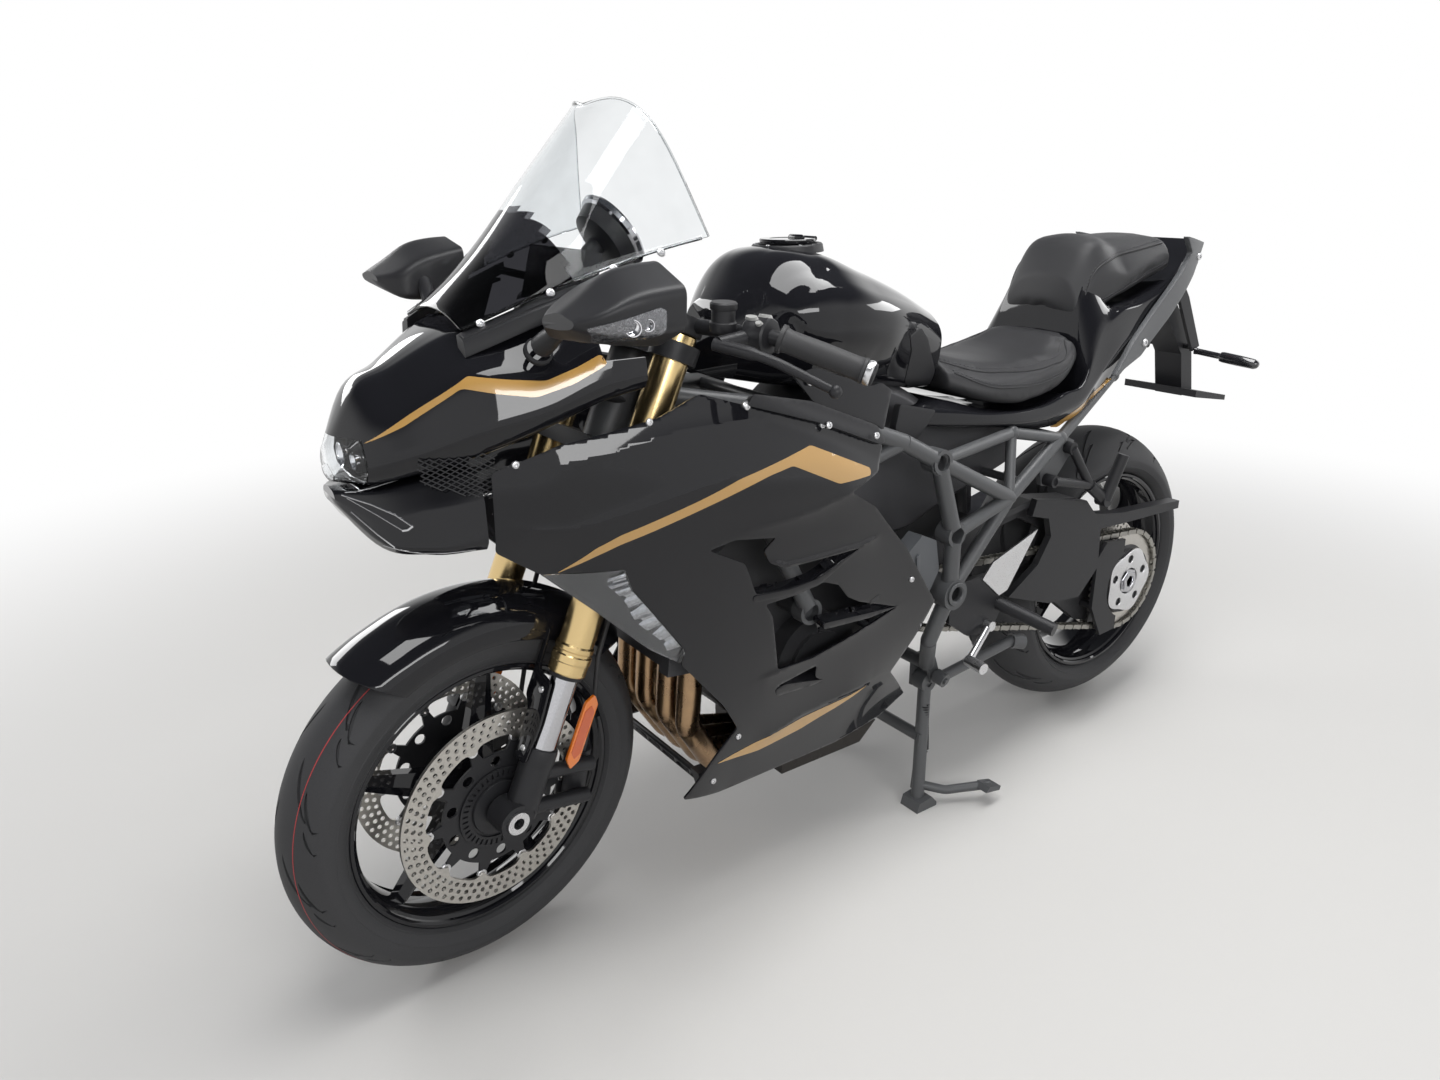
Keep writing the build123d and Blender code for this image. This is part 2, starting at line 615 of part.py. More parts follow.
def frame_side():
    """Left half of the trellis."""
    up, mid = (188, *FRAME_UP), (190, *FRAME_MID)
    pivot = (186, *PIVOT)
    cross = (180, 222, 622)
    rods = [
        ((28, -470, 880), (150, -250, 845), FRAME_TUBE_R),
        ((150, -250, 845), (180, -60, 770), FRAME_TUBE_R),
        ((180, -60, 770), up, FRAME_TUBE_R),
        ((26, -480, 863), (150, -330, 690), FRAME_TUBE_R),
        ((150, -330, 690), (188, *FRAME_FRONT), FRAME_TUBE_R),
        ((150, -330, 690), (150, -250, 845), FRAME_TUBE_R - 3),
        ((150, -330, 690), (180, -60, 770), FRAME_TUBE_R - 3),
        (up, mid, FRAME_TUBE_R),
        (mid, pivot, FRAME_TUBE_R),
        (up, cross, FRAME_TUBE_R - 1),
        ((155, 390, 704), cross, FRAME_TUBE_R - 2),
        (cross, pivot, FRAME_TUBE_R - 2),
        (mid, cross, FRAME_TUBE_R - 2),
        (pivot, (165, 48, 372), FRAME_TUBE_R),
        ((165, 48, 372), (118, 98, 290), FRAME_TUBE_R),
        ((155, 390, 704), (112, 600, 796), FRAME_TUBE_R - 4),
        ((112, 600, 796), (80, 820, 912), FRAME_TUBE_R - 4),
        ((150, 250, 735), cross, FRAME_TUBE_R - 5),
        (up, (150, 250, 735), FRAME_TUBE_R - 4),
        ((150, 250, 735), (155, 390, 704), FRAME_TUBE_R - 4),
    ]
    parts = [rod(*row) for row in rods]
    knuckles = [(150, -250, 845), (150, -330, 690), (180, -60, 770), cross, (165, 48, 372), (155, 390, 704),
                (112, 600, 796), (150, 250, 735)]
    parts += [Pos(*spot) * Sphere(FRAME_TUBE_R - 1) for spot in knuckles]
    parts.append(side_plate(GUSSET, GUSSET_X - 10, GUSSET_X))
    parts.append(drum(166, 200, FRAME_UP, BOSS_R))
    parts.append(drum(166, 200, FRAME_MID, BOSS_R))
    parts.append(drum(166, 192, FRAME_FRONT, BOSS_R))
    parts.append(drum(150, 202, PIVOT, PIVOT_BOSS_R))
    side = joined(parts)
    for centre, bore in ((FRAME_UP, BOSS_BORE_R), (FRAME_MID, BOSS_BORE_R), (FRAME_FRONT, BOSS_BORE_R),
                         (PIVOT, BOSS_BORE_R + 6)):
        side -= drum(178, 206, centre, bore)
    return side


def make_frame():
    side = frame_side()
    head_low = STEER_POINT + STEER_DIR * (LOWER_YOKE + YOKE_THICK + RUNNING_GAP)
    head_high = STEER_POINT + STEER_DIR * (UPPER_YOKE - RUNNING_GAP)
    head = rod(head_low, head_high, HEAD_R)
    bearing = rod(head_low, head_high, STEM_R + RUNNING_GAP)
    bars = [
        rod((-160, *PIVOT), (160, *PIVOT), PIVOT_PIN_R),
        rod((-118, *ENGINE_REAR_BAR), (118, *ENGINE_REAR_BAR), FRAME_TUBE_R - 2),
        rod((-150, -250, 845), (150, -250, 845), CROSS_BAR_R),
        rod((-112, 600, 796), (112, 600, 796), CROSS_BAR_R),
        rod((-155, 390, 704), (155, 390, 704), CROSS_BAR_R),
        rod((-172, *SHOCK_HEAD), (172, *SHOCK_HEAD), SHOCK_PIN_R),
    ]
    lugs = [side_plate([(88, 235), (118, 235), (118, 300), (88, 300)], *pair)
            for pair in ((84, 92), (-92, -84))]
    pins = [drum(*pair, STAND_PIVOT, STAND_PIN_R) for pair in ((88, 122), (-122, -88))]
    side_lug = side_plate([(84, 306), (108, 306), (124, 262), (100, 252)], 125, 131)
    side_pin = rod(side_point(-20), side_point(18), SIDE_PIN_R)
    halves = both_sides(side)
    return joined(halves + [head, side_lug, side_pin] + bars + lugs + pins) - bearing


ENGINE_HALF = 120
ENGINE_OUTLINE = [(-330, 300), (-368, 400), (-340, 480), (-400, 630), (-300, 690), (-140, 650), (-80, 540),
                  (5, 530), (12, 400), (-30, 300), (-130, 245), (-280, 245)]


def engine_block():
    return side_plate(ENGINE_OUTLINE, -ENGINE_HALF, ENGINE_HALF)


def make_engine():
    covers = [
        drum(ENGINE_HALF, ENGINE_HALF + 34, (-215, 400), 88),
        drum(ENGINE_HALF + 34, ENGINE_HALF + 42, (-215, 400), 60),
        drum(-ENGINE_HALF - 38, -ENGINE_HALF, (-80, 412), 88),
        drum(-ENGINE_HALF - 30, -ENGINE_HALF, (-260, 380), 55),
    ]
    mounts = [drum(*span, FRAME_FRONT, 17)
              for span in ((ENGINE_HALF, 166 - RUNNING_GAP), (RUNNING_GAP - 166, -ENGINE_HALF))]
    outline = [(-40, 300), (0, 330), (90, 312), (118, 300), (118, 278), (80, 272), (-40, 260)]
    rear_lug = side_plate(outline, -45, 45)
    rear_lug -= drum(-45, 45, ENGINE_REAR_BAR, FRAME_TUBE_R - 2 + RUNNING_GAP)
    sprocket = drum(CHAIN_X - 3.5, CHAIN_X + 3.5, FRONT_SPROCKET, FRONT_SPROCKET_R + 0.7)
    shaft = drum(ENGINE_HALF, CHAIN_X + 10, FRONT_SPROCKET, 16)
    return joined([engine_block(), rear_lug, sprocket, shaft] + covers + mounts)


def make_sprocket_cover():
    outline = [(-47, 562), (-5, 595), (31, 579), (43, 520), (14, 470), (8, 430), (-60, 400), (-92, 430),
               (-86, 520)]
    cover = side_plate(outline, CHAIN_X + 14, CHAIN_X + 48)
    posts = [drum(ENGINE_HALF + RUNNING_GAP, CHAIN_X + 14, spot, 7) for spot in ((-72, 522), (-84, 428))]
    return joined([cover] + posts)


def make_radiator():
    tilt = Plane(origin=(0, -488, 588), x_dir=(1, 0, 0), z_dir=(0, -1, 0.12))
    core = extrude(tilt * Rectangle(300, 230), amount=16, both=True)
    tanks = [extrude(tilt * Pos(x, 0) * Rectangle(26, 244), amount=20, both=True) for x in (150, -150)]
    parts = [core] + tanks
    for side in (1, -1):
        stay = rod((side * 140, -474, 660), (side * 150, -330, 690), 6)
        parts.append(stay - rod((side * 26, -480, 863), (side * 150, -330, 690), FRAME_TUBE_R + RUNNING_GAP)
                     - Pos(side * 150, -330, 690) * Sphere(FRAME_TUBE_R + RUNNING_GAP))
    return joined(parts)


HEADER_R = 21
LINK_R = 22


def make_headers():
    pipes = []
    for x in (-96, -34, 34, 96):
        pipes.append(pipe([(x, -340, 575), (x, -428, 545), (x, -446, 330), (x * 0.8, -380, 222),
                           (x * 0.6, -240, 190)], HEADER_R, 34))
    box = side_plate([(-250, 165), (-250, 225), (-60, 232), (-20, 200), (-60, 165)], -105, 105)
    link = pipe([(-60, -100, 195), (-152, -20, 205), (-156, 100, 236), (-190, 262, 302)], LINK_R, 60)
    whole = joined(pipes + [box, link])
    return whole - block((-300, 0), (250, 300), (200, 400)) - engine_block()


def make_silencer():
    rows = [
        (250, [(-150, 270), (-150, 335), (-215, 345), (-225, 300), (-200, 270)]),
        (330, [(-128, 262), (-128, 385), (-220, 400), (-250, 330), (-210, 262)]),
        (620, [(-128, 330), (-128, 455), (-210, 470), (-248, 400), (-205, 330)]),
        (700, [(-140, 375), (-140, 450), (-200, 462), (-225, 415), (-195, 375)]),
    ]
    hook = 548 - RUNNING_GAP
    strap = side_plate([(500, 400), (540, 400), (528, hook), (512, hook)], -184, -176)
    tail_pipe = rod((-182, 690, 418), (-186, 716, 424), 24) - rod((-184, 705, 422), (-187, 720, 425), 20)
    return joined([hull_loft(rows, ruled=True), strap, tail_pipe])


# Tank, seats and tail

TANK_ROWS = [
    (-322, [(0, 1004), (45, 1000), (72, 980), (76, 930), (66, 890), (0, 884)]),
    (-270, [(0, 1066), (70, 1058), (128, 1010), (132, 940), (108, 880), (0, 872)]),
    (-170, [(0, 1080), (80, 1072), (158, 1012), (160, 950), (126, 872), (0, 860)]),
    (-70, [(0, 1048), (80, 1038), (156, 985), (146, 920), (110, 858), (0, 846)]),
    (30, [(0, 1008), (68, 1000), (122, 960), (108, 900), (92, 838), (0, 826)]),
    (112, [(0, 968), (52, 962), (92, 930), (88, 880), (72, 826), (0, 815)]),
]


def make_fuel_tank():
    body = hull_loft(closed_rows(TANK_ROWS))
    well = extrude(Pos(0, -169, 1040) * Circle(CAP_R + 4), amount=60)
    neck = extrude(Pos(0, -169, 1030) * Circle(CAP_R + 16), amount=CAP_SEAT - 1030)
    neck -= extrude(Pos(0, -169, 1060) * Circle(CAP_R - 5), amount=60)
    front_foot = block((-40, 40), (-262, -238), (845 + CROSS_BAR_R + RUNNING_GAP, 885))
    rear_foot = block((-40, 40), (70, 96), (TAIL_FRONT_TOP + RUNNING_GAP, 835))
    return joined([body - well, neck, front_foot, rear_foot])


CAP_R = 46
CAP_SEAT = 1086


def make_fuel_cap():
    lid = extrude(Pos(0, -169, CAP_SEAT + RUNNING_GAP) * Circle(CAP_R), amount=7)
    hinge = rod((-14, -169 + CAP_R + 2, CAP_SEAT + 5), (14, -169 + CAP_R + 2, CAP_SEAT + 5), 4)
    return lid + hinge


RIDER_SEAT_ROWS = [
    (128, [(0, 884), (60, 878), (96, 858), (100, 836), (90, 826), (0, 826)]),
    (200, [(0, 866), (90, 858), (140, 836), (146, 812), (130, 798), (0, 798)]),
    (320, [(0, 850), (100, 850), (150, 842), (156, 812), (140, 792), (0, 792)]),
    (420, [(0, 868), (96, 868), (142, 862), (146, 836), (132, 815), (0, 815)]),
    (470, [(0, 905), (80, 900), (118, 880), (122, 856), (112, 840), (0, 840)]),
]
PASSENGER_SEAT_ROWS = [
    (486, [(0, 1000), (60, 985), (86, 950), (88, 925), (80, 918), (0, 918)]),
    (520, [(0, 1052), (72, 1040), (98, 985), (100, 940), (92, 922), (0, 922)]),
    (620, [(0, 1062), (82, 1052), (108, 1000), (110, 962), (100, 950), (0, 950)]),
    (770, [(0, 1066), (84, 1058), (106, 1030), (108, 1006), (98, 996), (0, 996)]),
]


def closed_rows(rows):
    return [(y, full_width(half)) for y, half in rows]


def make_rider_seat():
    body = hull_loft(closed_rows(RIDER_SEAT_ROWS))
    pads = [block((-60, 60), span, (TAIL_DECK - 2, 800)) - tail_body() for span in ((260, 290), (340, 370))]
    return joined([body] + pads)


def make_passenger_seat():
    body = hull_loft(closed_rows(PASSENGER_SEAT_ROWS))
    pads = [block((-50, 50), (600, 640), (920, 955)), block((-50, 50), (720, 750), (960, 985))]
    return joined([body, pads[0] - tail_body(), pads[1] - tail_body()])


TAIL_FRONT_TOP = 806
TAIL_DECK = 782
TAIL_ROWS = [
    (40, [(0, TAIL_FRONT_TOP), (100, TAIL_FRONT_TOP), (122, 800), (124, 772), (100, 764), (0, 764)]),
    (110, [(0, TAIL_FRONT_TOP), (100, TAIL_FRONT_TOP), (136, 790), (138, 764), (114, 755), (0, 758)]),
    (200, [(0, TAIL_DECK), (120, TAIL_DECK), (150, 778), (152, 756), (136, 748), (0, 752)]),
    (400, [(0, TAIL_DECK), (130, 788), (150, 790), (157, 758), (142, 728), (0, 742)]),
    (472, [(0, 800), (118, 822), (146, 822), (152, 780), (140, 742), (0, 776)]),
    (485, [(0, 912), (100, 908), (142, 845), (150, 790), (138, 752), (0, 780)]),
    (575, [(0, 930), (106, 936), (128, 925), (140, 860), (130, 803), (0, 835)]),
    (651, [(0, 944), (108, 948), (126, 938), (132, 890), (122, 850), (0, 866)]),
    (800, [(0, 1000), (106, 1002), (118, 992), (120, 960), (108, 945), (0, 940)]),
    (880, [(0, 1052), (88, 1052), (98, 1040), (98, 1000), (86, 982), (0, 976)]),
]


@cache
def tail_body():
    return hull_loft(closed_rows(TAIL_ROWS), ruled=True)


def make_tail_cowl():
    tube = rod((155, 390, 704), (112, 600, 796), FRAME_TUBE_R - 4 + RUNNING_GAP)
    body = tail_body() - tube - mirror(tube, about=Plane.YZ)
    posts = [
        block((-60, 60), (380, 400), (704 + CROSS_BAR_R + RUNNING_GAP, 750)),
        block((-50, 50), (590, 610), (796 + CROSS_BAR_R + RUNNING_GAP, 850)),
    ]
    return joined([body] + posts)


# (y, inner face x): the rails lie against the widest line of the tail's sides
RAIL_ROWS = [(540, 144.6), (575, 140.3), (651, 132.3), (800, 120.3), (880, 98.3)]
RAIL_OUTLINE = [(548, 806), (642, 836), (733, 905), (822, 984), (867, 1047), (765, 1064), (797, 1030),
                (706, 947), (603, 864)]


def make_grab_rails():
    faces = [section(y, [(x, 780), (x + 11, 780), (x + 11, 1080), (x, 1080)]) for y, x in RAIL_ROWS]
    blade = loft(faces, ruled=True) & side_plate(RAIL_OUTLINE, 90, 170)
    return both_sides(blade)


LAMP_LOW = 984


def make_tail_lamp():
    rows = [(880 + RUNNING_GAP, [(0, 1044), (76, 1040), (88, 1012), (80, 988), (0, LAMP_LOW)]),
            (922, [(0, 1006), (60, 1004), (70, 995), (60, 986), (0, LAMP_LOW)])]
    return hull_loft(closed_rows(rows), ruled=True)


PLATE_REAR = OVERALL_LENGTH / 2


def make_plate_holder():
    stem = side_plate([(850, 985), (884, 1000), (905, 935), (1010, 815), (1040, 700), (1000, 690),
                       (975, 790), (862, 925)], -34, 34)
    struts = [side_plate([(845, 975), (872, 990), (930, 925), (1000, 810), (975, 800), (900, 915)], *span)
              for span in ((52, 60), (-60, -52))]
    ties = [rod((-58, *spot), (58, *spot), 6) for spot in ((905, 918), (985, 808))]
    shelf = side_plate([(960, 700), (PLATE_REAR, 678), (PLATE_REAR, 690), (960, 716)], -92, 92)
    above = block((-70, 70), (840, 930), (LAMP_LOW - RUNNING_GAP, 1010))
    return joined([stem, shelf] + struts + ties) - tail_body() - above


def make_rear_signals():
    stalk = rod((60 + RUNNING_GAP, 985, 800), (122, 992, 794), 7)
    stalk -= block((0, 60 + RUNNING_GAP), (900, 1100), (700, 900))
    lens = rod((118, 991, 794), (205, 996, 786), 12)
    return both_sides(stalk + lens)


# Nose, screen, mirrors and fairing

NOSE_ROWS = [
    (-936, [(0, 868), (12, 864), (26, 850), (30, 835), (24, 822), (0, 818)]),
    (-905, [(0, 930), (24, 926), (66, 882), (80, 850), (70, 822), (0, 815)]),
    (-850, [(0, 965), (38, 960), (106, 915), (128, 868), (112, 835), (0, 825)]),
    (-790, [(0, 1000), (60, 996), (144, 958), (166, 892), (150, 855), (0, 840)]),
    (-700, [(0, 1030), (118, 1028), (182, 956), (194, 914), (184, 888), (0, 862)]),
    (-625, [(0, 1052), (142, 1050), (196, 976), (204, 938), (196, 915), (0, 890)]),
    (-560, [(0, 1066), (150, 1064), (198, 985), (206, 945), (198, 926), (0, 905)]),
]
CHIN_ROWS = [
    (-938, [(0, 812), (22, 808), (28, 800), (26, 793), (16, 790), (0, 790)]),
    (-905, [(0, 811), (64, 812), (82, 780), (84, 752), (68, 742), (0, 750)]),
    (-850, [(0, 820), (104, 826), (126, 790), (131, 740), (120, 730), (0, 716)]),
    (-786, [(0, 835), (140, 840), (158, 800), (160, 745), (150, 732), (0, 727)]),
]


LAMP_OUTLINE = [(-960, 800), (-905, 812), (-905, 880), (-960, 880)]


@cache
def nose_body():
    return hull_loft(closed_rows(NOSE_ROWS))


@cache
def nose_hollow():
    """The room inside the nose, open to the rear."""
    rows = closed_rows(NOSE_ROWS)
    return hull_loft(rows[2:6] + [(-555, rows[6][1])], PANEL_WALL)


@cache
def make_nose_cowl():
    cuts = [
        side_plate([(-752, 975), (-550, 975), (-550, 1100), (-752, 1100)], -112, 112),
        side_plate([(-625, 968), (-550, 968), (-550, 1100), (-625, 1100)], -260, 260),
        side_plate([(-782, 800), (-550, 800), (-550, 938), (-640, 930), (-782, 912)], -140, 140),
        side_plate(LAMP_OUTLINE, -120, 120),
    ]
    shell = nose_body() - nose_hollow()
    for cut in cuts:
        shell -= cut
    return shell


def make_headlamp():
    rows = closed_rows(NOSE_ROWS)
    lens = hull_loft([rows[0], rows[1], rows[2]]) - hull_loft([rows[1], rows[2]], PANEL_WALL)
    y_back = -905 - RUNNING_GAP
    return lens & side_plate([(-960, 800), (y_back, 812), (y_back, 880), (-960, 880)], -120, 120)


@cache
def chin_body():
    return hull_loft(closed_rows(CHIN_ROWS))


def make_chin():
    rows = closed_rows(CHIN_ROWS)
    inner = hull_loft([rows[1], rows[2], (-780, rows[3][1])], PANEL_WALL)
    tabs = [block(span, (-876, -856), (815, 842)) - nose_body() for span in ((-60, -30), (30, 60))]
    return joined([chin_body() - inner] + tabs)


def make_nose_grilles():
    """Diamond lattice in the intake between nose, chin and fairing."""
    rows = [(-862, [(119, 862), (122, 850), (118, 826)]), (-800, [(146, 862), (150, 848), (146, 806)]),
            (-765, [(159, 866), (162, 848), (158, 800)])]
    plate = skin(rows, 4) - nose_body() - chin_body()
    for row in range(4):
        for col in range(6):
            y = -852 + col * 15 + (row % 2) * 7.5
            z = 812 + row * 12
            plate -= side_plate([(y - 6, z), (y, z + 4.5), (y + 6, z), (y, z - 4.5)], 100, 180)
    return both_sides(plate)


SCREEN_ROWS = [
    (-775, [(0, 1030), (52, 1025), (100, 1011)]),
    (-700, [(0, 1096), (72, 1080), (132, 1044)]),
    (-600, [(0, 1208), (92, 1172), (157, 1078)]),
    (-520, [(0, 1296), (104, 1240), (172, 1100)]),
    (-430, [(0, 1390), (114, 1316), (184, 1118)]),
]
SCREEN_EDGE = [(-800, 980), (-430, 980), (-449, 1133), (-531, 1284), (-620, 1320), (-800, 1320)]


def make_windscreen():
    faces = []
    for y, half in SCREEN_ROWS:
        outer = [(-x, z) for x, z in reversed(half) if x > 0] + list(half)
        inner = [(x * 0.96, z - SCREEN_WALL) for x, z in reversed(outer)]
        faces.append(section(y, outer + inner))
    pane = loft(faces) & side_plate(SCREEN_EDGE, -250, 250)
    return pane


FAIRING_ROWS = [
    (-780, [(168, 868), (172, 820), (170, 790), (168, 765), (166, 745), (162, 730)]),
    (-700, [(200, 900), (214, 830), (212, 790), (205, 745), (196, 715), (188, 690)]),
    (-600, [(218, 925), (238, 830), (236, 760), (228, 680), (218, 600), (212, 560)]),
    (-500, [(226, 916), (250, 810), (246, 720), (232, 600), (205, 440), (165, 236)]),
    (-400, [(230, 886), (254, 800), (248, 700), (232, 560), (200, 390), (158, 228)]),
    (-250, [(232, 816), (245, 780), (240, 680), (226, 540), (190, 370), (147, 220)]),
    (-100, [(222, 735), (228, 700), (222, 620), (212, 500), (180, 340), (136, 218)]),
    (30, [(205, 640), (208, 600), (207, 540), (202, 460), (165, 330), (130, 250)]),
]
FAIRING_OUTLINE = [
    (-780, 840), (-780, 730), (-725, 691), (-622, 690), (-612, 655), (-525, 538), (-531, 515), (-447, 414),
    (-412, 357), (-448, 315), (-503, 245), (-424, 226), (-155, 214), (-36, 226), (24, 256), (-62, 346),
    (-20, 408), (14, 476), (-7, 501), (-77, 597), (-173, 695), (-235, 733), (-168, 752), (-150, 790),
    (-164, 794), (-296, 849), (-426, 891), (-499, 915), (-566, 893), (-700, 872),
]
VENTS = [
    [(-498, 695), (-456, 703), (-381, 691), (-402, 674), (-389, 651), (-358, 636), (-200, 631), (-294, 600),
     (-349, 598), (-410, 604), (-435, 661)],
    [(-390, 582), (-325, 583), (-274, 590), (-240, 576), (-215, 547), (-184, 529), (-131, 509), (-86, 491),
     (-206, 463), (-275, 449), (-348, 451), (-374, 557)],
    [(-344, 416), (-260, 429), (-257, 404), (-237, 390), (-337, 397)],
]
FINS = [
    [(-415, 603), (-345, 597), (-290, 600), (-194, 632), (-286, 588), (-340, 586), (-415, 592)],
    [(-262, 512), (-154, 500), (-80, 492), (-154, 490), (-262, 500)],
    [(-346, 410), (-328, 415), (-235, 392), (-259, 388), (-340, 396)],
]
FIN_DEPTH = 26
CORNER_LAMP = [(-724, 690), (-622, 689), (-612, 655), (-526, 537), (-532, 517), (-587, 558), (-655, 625)]
BAR_OUTLINE = [(-414, 906), (-306, 881), (-165, 823), (-150, 797), (-164, 794.3), (-296, 849.3),
               (-426, 891.3)]
BAR_OUT = 5


@cache
def fairing_side():
    panel = skin(FAIRING_ROWS, PANEL_WALL) & side_plate(FAIRING_OUTLINE, 100, 300)
    for vent in VENTS:
        panel -= side_plate(vent, 100, 300)
    deep = skin(FAIRING_ROWS, FIN_DEPTH)
    fins = [deep & side_plate(fin, 100, 300) for fin in FINS]
    stays = [
        rod((168, -490, 600), (229, -490, 600), 6),
        rod((ENGINE_HALF + RUNNING_GAP, -280, 262), (151, -280, 262), 7),
        rod((226, -232, 786), (150, -225, 838), 6)
        - rod((150, -250, 845), (180, -60, 770), FRAME_TUBE_R + RUNNING_GAP),
    ]
    return joined([panel] + fins + stays)


def extended(rows, out):
    """The same rows moved out, with a point added above and below each."""
    grown = []
    for y, points in rows:
        top, low = points[0], points[-1]
        more = [(top[0] - 7, top[1] + 45)] + list(points) + [(low[0] - 9, low[1] - 30)]
        grown.append((y, [(x + out, z) for x, z in more]))
    return grown


def make_side_covers():
    """Satin bars on the fairing's upper edges and covers between tank and frame."""
    bar = skin(extended(FAIRING_ROWS[2:7], BAR_OUT), 3 * PANEL_WALL) & side_plate(BAR_OUTLINE, 100, 300)
    cover = side_plate([(-30, 818), (50, 800), (30, 775), (3, 745), (-30, 750), (-41, 784)], 120, 134)
    return both_sides(bar) + both_sides(cover - tail_body())


def make_cornering_lamps():
    lens = skin(extended(FAIRING_ROWS[:5], 1), 18) & side_plate(inset(CORNER_LAMP, RUNNING_GAP), 100, 300)
    return both_sides(lens)


BRACE_Y = -466
BRACE_HALF = 150


def make_belly_brace():
    """Lattice bracket across the front of the belly, between the two fairing halves."""
    top, low = (BRACE_Y, 276), (BRACE_Y + 16, 248)
    rails = [rod((-BRACE_HALF, *spot), (BRACE_HALF, *spot), 5) for spot in (top, low)]
    webs = [rod((x, *top), (x + turn, *low), 4) for x in range(-135, 136, 45) for turn in (-22, 22)
            if abs(x + turn) < BRACE_HALF]
    end = [(BRACE_Y - 8, 284), (BRACE_Y + 12, 284), (BRACE_Y + 24, 240), (BRACE_Y + 4, 240)]
    outside = skin(extended(FAIRING_ROWS, 60), 60 + PANEL_WALL + RUNNING_GAP)
    ends = both_sides(side_plate(end, BRACE_HALF - 4, BRACE_HALF + 40) - outside)
    return joined(rails + webs + ends)


def make_fairing_left():
    return fairing_side()


def make_fairing_right():
    return mirror(fairing_side(), about=Plane.YZ)


def make_mirrors():
    rows = [
        (-742, [(262, 1020), (330, 1026), (372, 1036), (384, 1050), (330, 1058), (268, 1046)]),
        (-690, [(250, 1010), (330, 1012), (392, 1030), (396, 1072), (330, 1092), (256, 1070)]),
        (-622, [(246, 1004), (330, 1004), (390, 1030), (393, 1076), (330, 1102), (250, 1086)]),
    ]
    shell = loft([section(y, p) for y, p in rows], ruled=True)
    arm = rod((192, -702, 1000), (262, -690, 1040), 11)
    foot = rod((150, -706, 972), (198, -700, 1004), 13) - nose_body()
    return both_sides(joined([shell, arm, foot]))


# (y, inner x, outer x, top z)
RAIL_UNDER_SCREEN = [(-776, 96, 112, 1006), (-700, 126, 144, 1038), (-600, 154, 170, 1070)]


def make_cockpit():
    """Dash, its tubular stay from the steering head, and the rails under the screen."""
    dash = side_plate([(-610, 1000), (-585, 1098), (-560, 1092), (-585, 994)], -88, 88)
    root_height = 640
    parts = [dash]
    for side in (1, -1):
        root = STEER_POINT + STEER_DIR * root_height + Vector(side * 26, 0, 0)
        knee = Vector(side * 26, -640, 930)
        parts.append(rod(root, knee, 8))
        parts.append(rod(knee, (side * 40, -598, 1010), 8))
        parts.append(rod(knee, (side * 150, -668, 935), 7))
        parts.append(rod((side * 150, -668, 935), (side * 188, -668, 938), 7))
        rail = [(y, [(side * x1, z), (side * x2, z - 3), (side * x2, z - 18), (side * x1, z - 16)])
                for y, x1, x2, z in RAIL_UNDER_SCREEN]
        parts.append(loft([section(y, p) for y, p in rail], ruled=True))
        parts.append(rod((side * 80, -588, 1050), (side * 158, -612, 1060), 6))
    whole = joined(parts)
    head_low = STEER_POINT + STEER_DIR * (root_height - 60)
    head = rod(head_low, head_low + STEER_DIR * 120, HEAD_R + RUNNING_GAP)
    return whole - head - make_nose_cowl()


# Foot controls and stands

HANGER_X = 178
HANGER_OUTLINE = [(82, 446), (92, 476), (200, 476), (235, 400), (205, 350), (140, 360), (86, 400)]


def make_foot_pegs():
    """Rider peg hangers bolted beside the pivot, and the passenger hangers on the gussets."""
    plate = side_plate(HANGER_OUTLINE, HANGER_X - 10, HANGER_X)
    plate -= drum(HANGER_X - 20, HANGER_X + 20, PIVOT, PIVOT_BOSS_R + RUNNING_GAP)
    peg = rod((HANGER_X - 5, 222, 408), (290, 250, 384), 13)
    rider = joined([plate, peg])
    passenger = joined([
        rod((172, 410, 684), (178, 470, 600), 9),
        rod((178, 355, 628), (178, 470, 600), 9),
        rod((178, 470, 600), (180, 520, 562), 12),
        drum(GUSSET_X + RUNNING_GAP, 176, PASSENGER_BOSSES[0], 12),
        drum(GUSSET_X + RUNNING_GAP, 182, PASSENGER_BOSSES[1], 12),
        rod((184, 520, 562), (196, 545, 655), 12),
        drum(168, 192, (520, 562), 14),
    ])
    return both_sides(rider) + both_sides(passenger)


def make_foot_controls():
    """Heel guards, gear lever on the left and brake pedal on the right."""
    guard = [(166, 471), (192, 500), (315, 540), (240, 432), (217, 426)]
    guards = both_sides(side_plate(guard, HANGER_X + RUNNING_GAP, HANGER_X + 4))
    lever = joined([rod((186, 190, 372), (208, 115, 328), 7), rod((204, 115, 328), (246, 112, 326), 11),
                    drum(HANGER_X + RUNNING_GAP, 194, (190, 372), 10)])
    pedal = joined([rod((-186, 190, 372), (-208, 100, 320), 7), rod((-200, 100, 320), (-250, 98, 318), 11),
                    drum(-194, -HANGER_X - RUNNING_GAP, (190, 372), 10)])
    return guards + [lever, pedal]


def make_rear_shock():
    top, foot = (0, *SHOCK_HEAD), (0, *SHOCK_FOOT)
    damper = rod((0, 264, 625), (0, 286, 442), 18)
    spring = rod((0, 266, 610), (0, 280, 490), 29)
    eyes = [drum(-20, 20, spot, 19) for spot in (SHOCK_HEAD, SHOCK_FOOT)]
    shock = joined([damper, spring] + eyes)
    for spot in (SHOCK_HEAD, SHOCK_FOOT):
        shock -= drum(-20, 20, spot, SHOCK_PIN_R + RUNNING_GAP)
    return shock


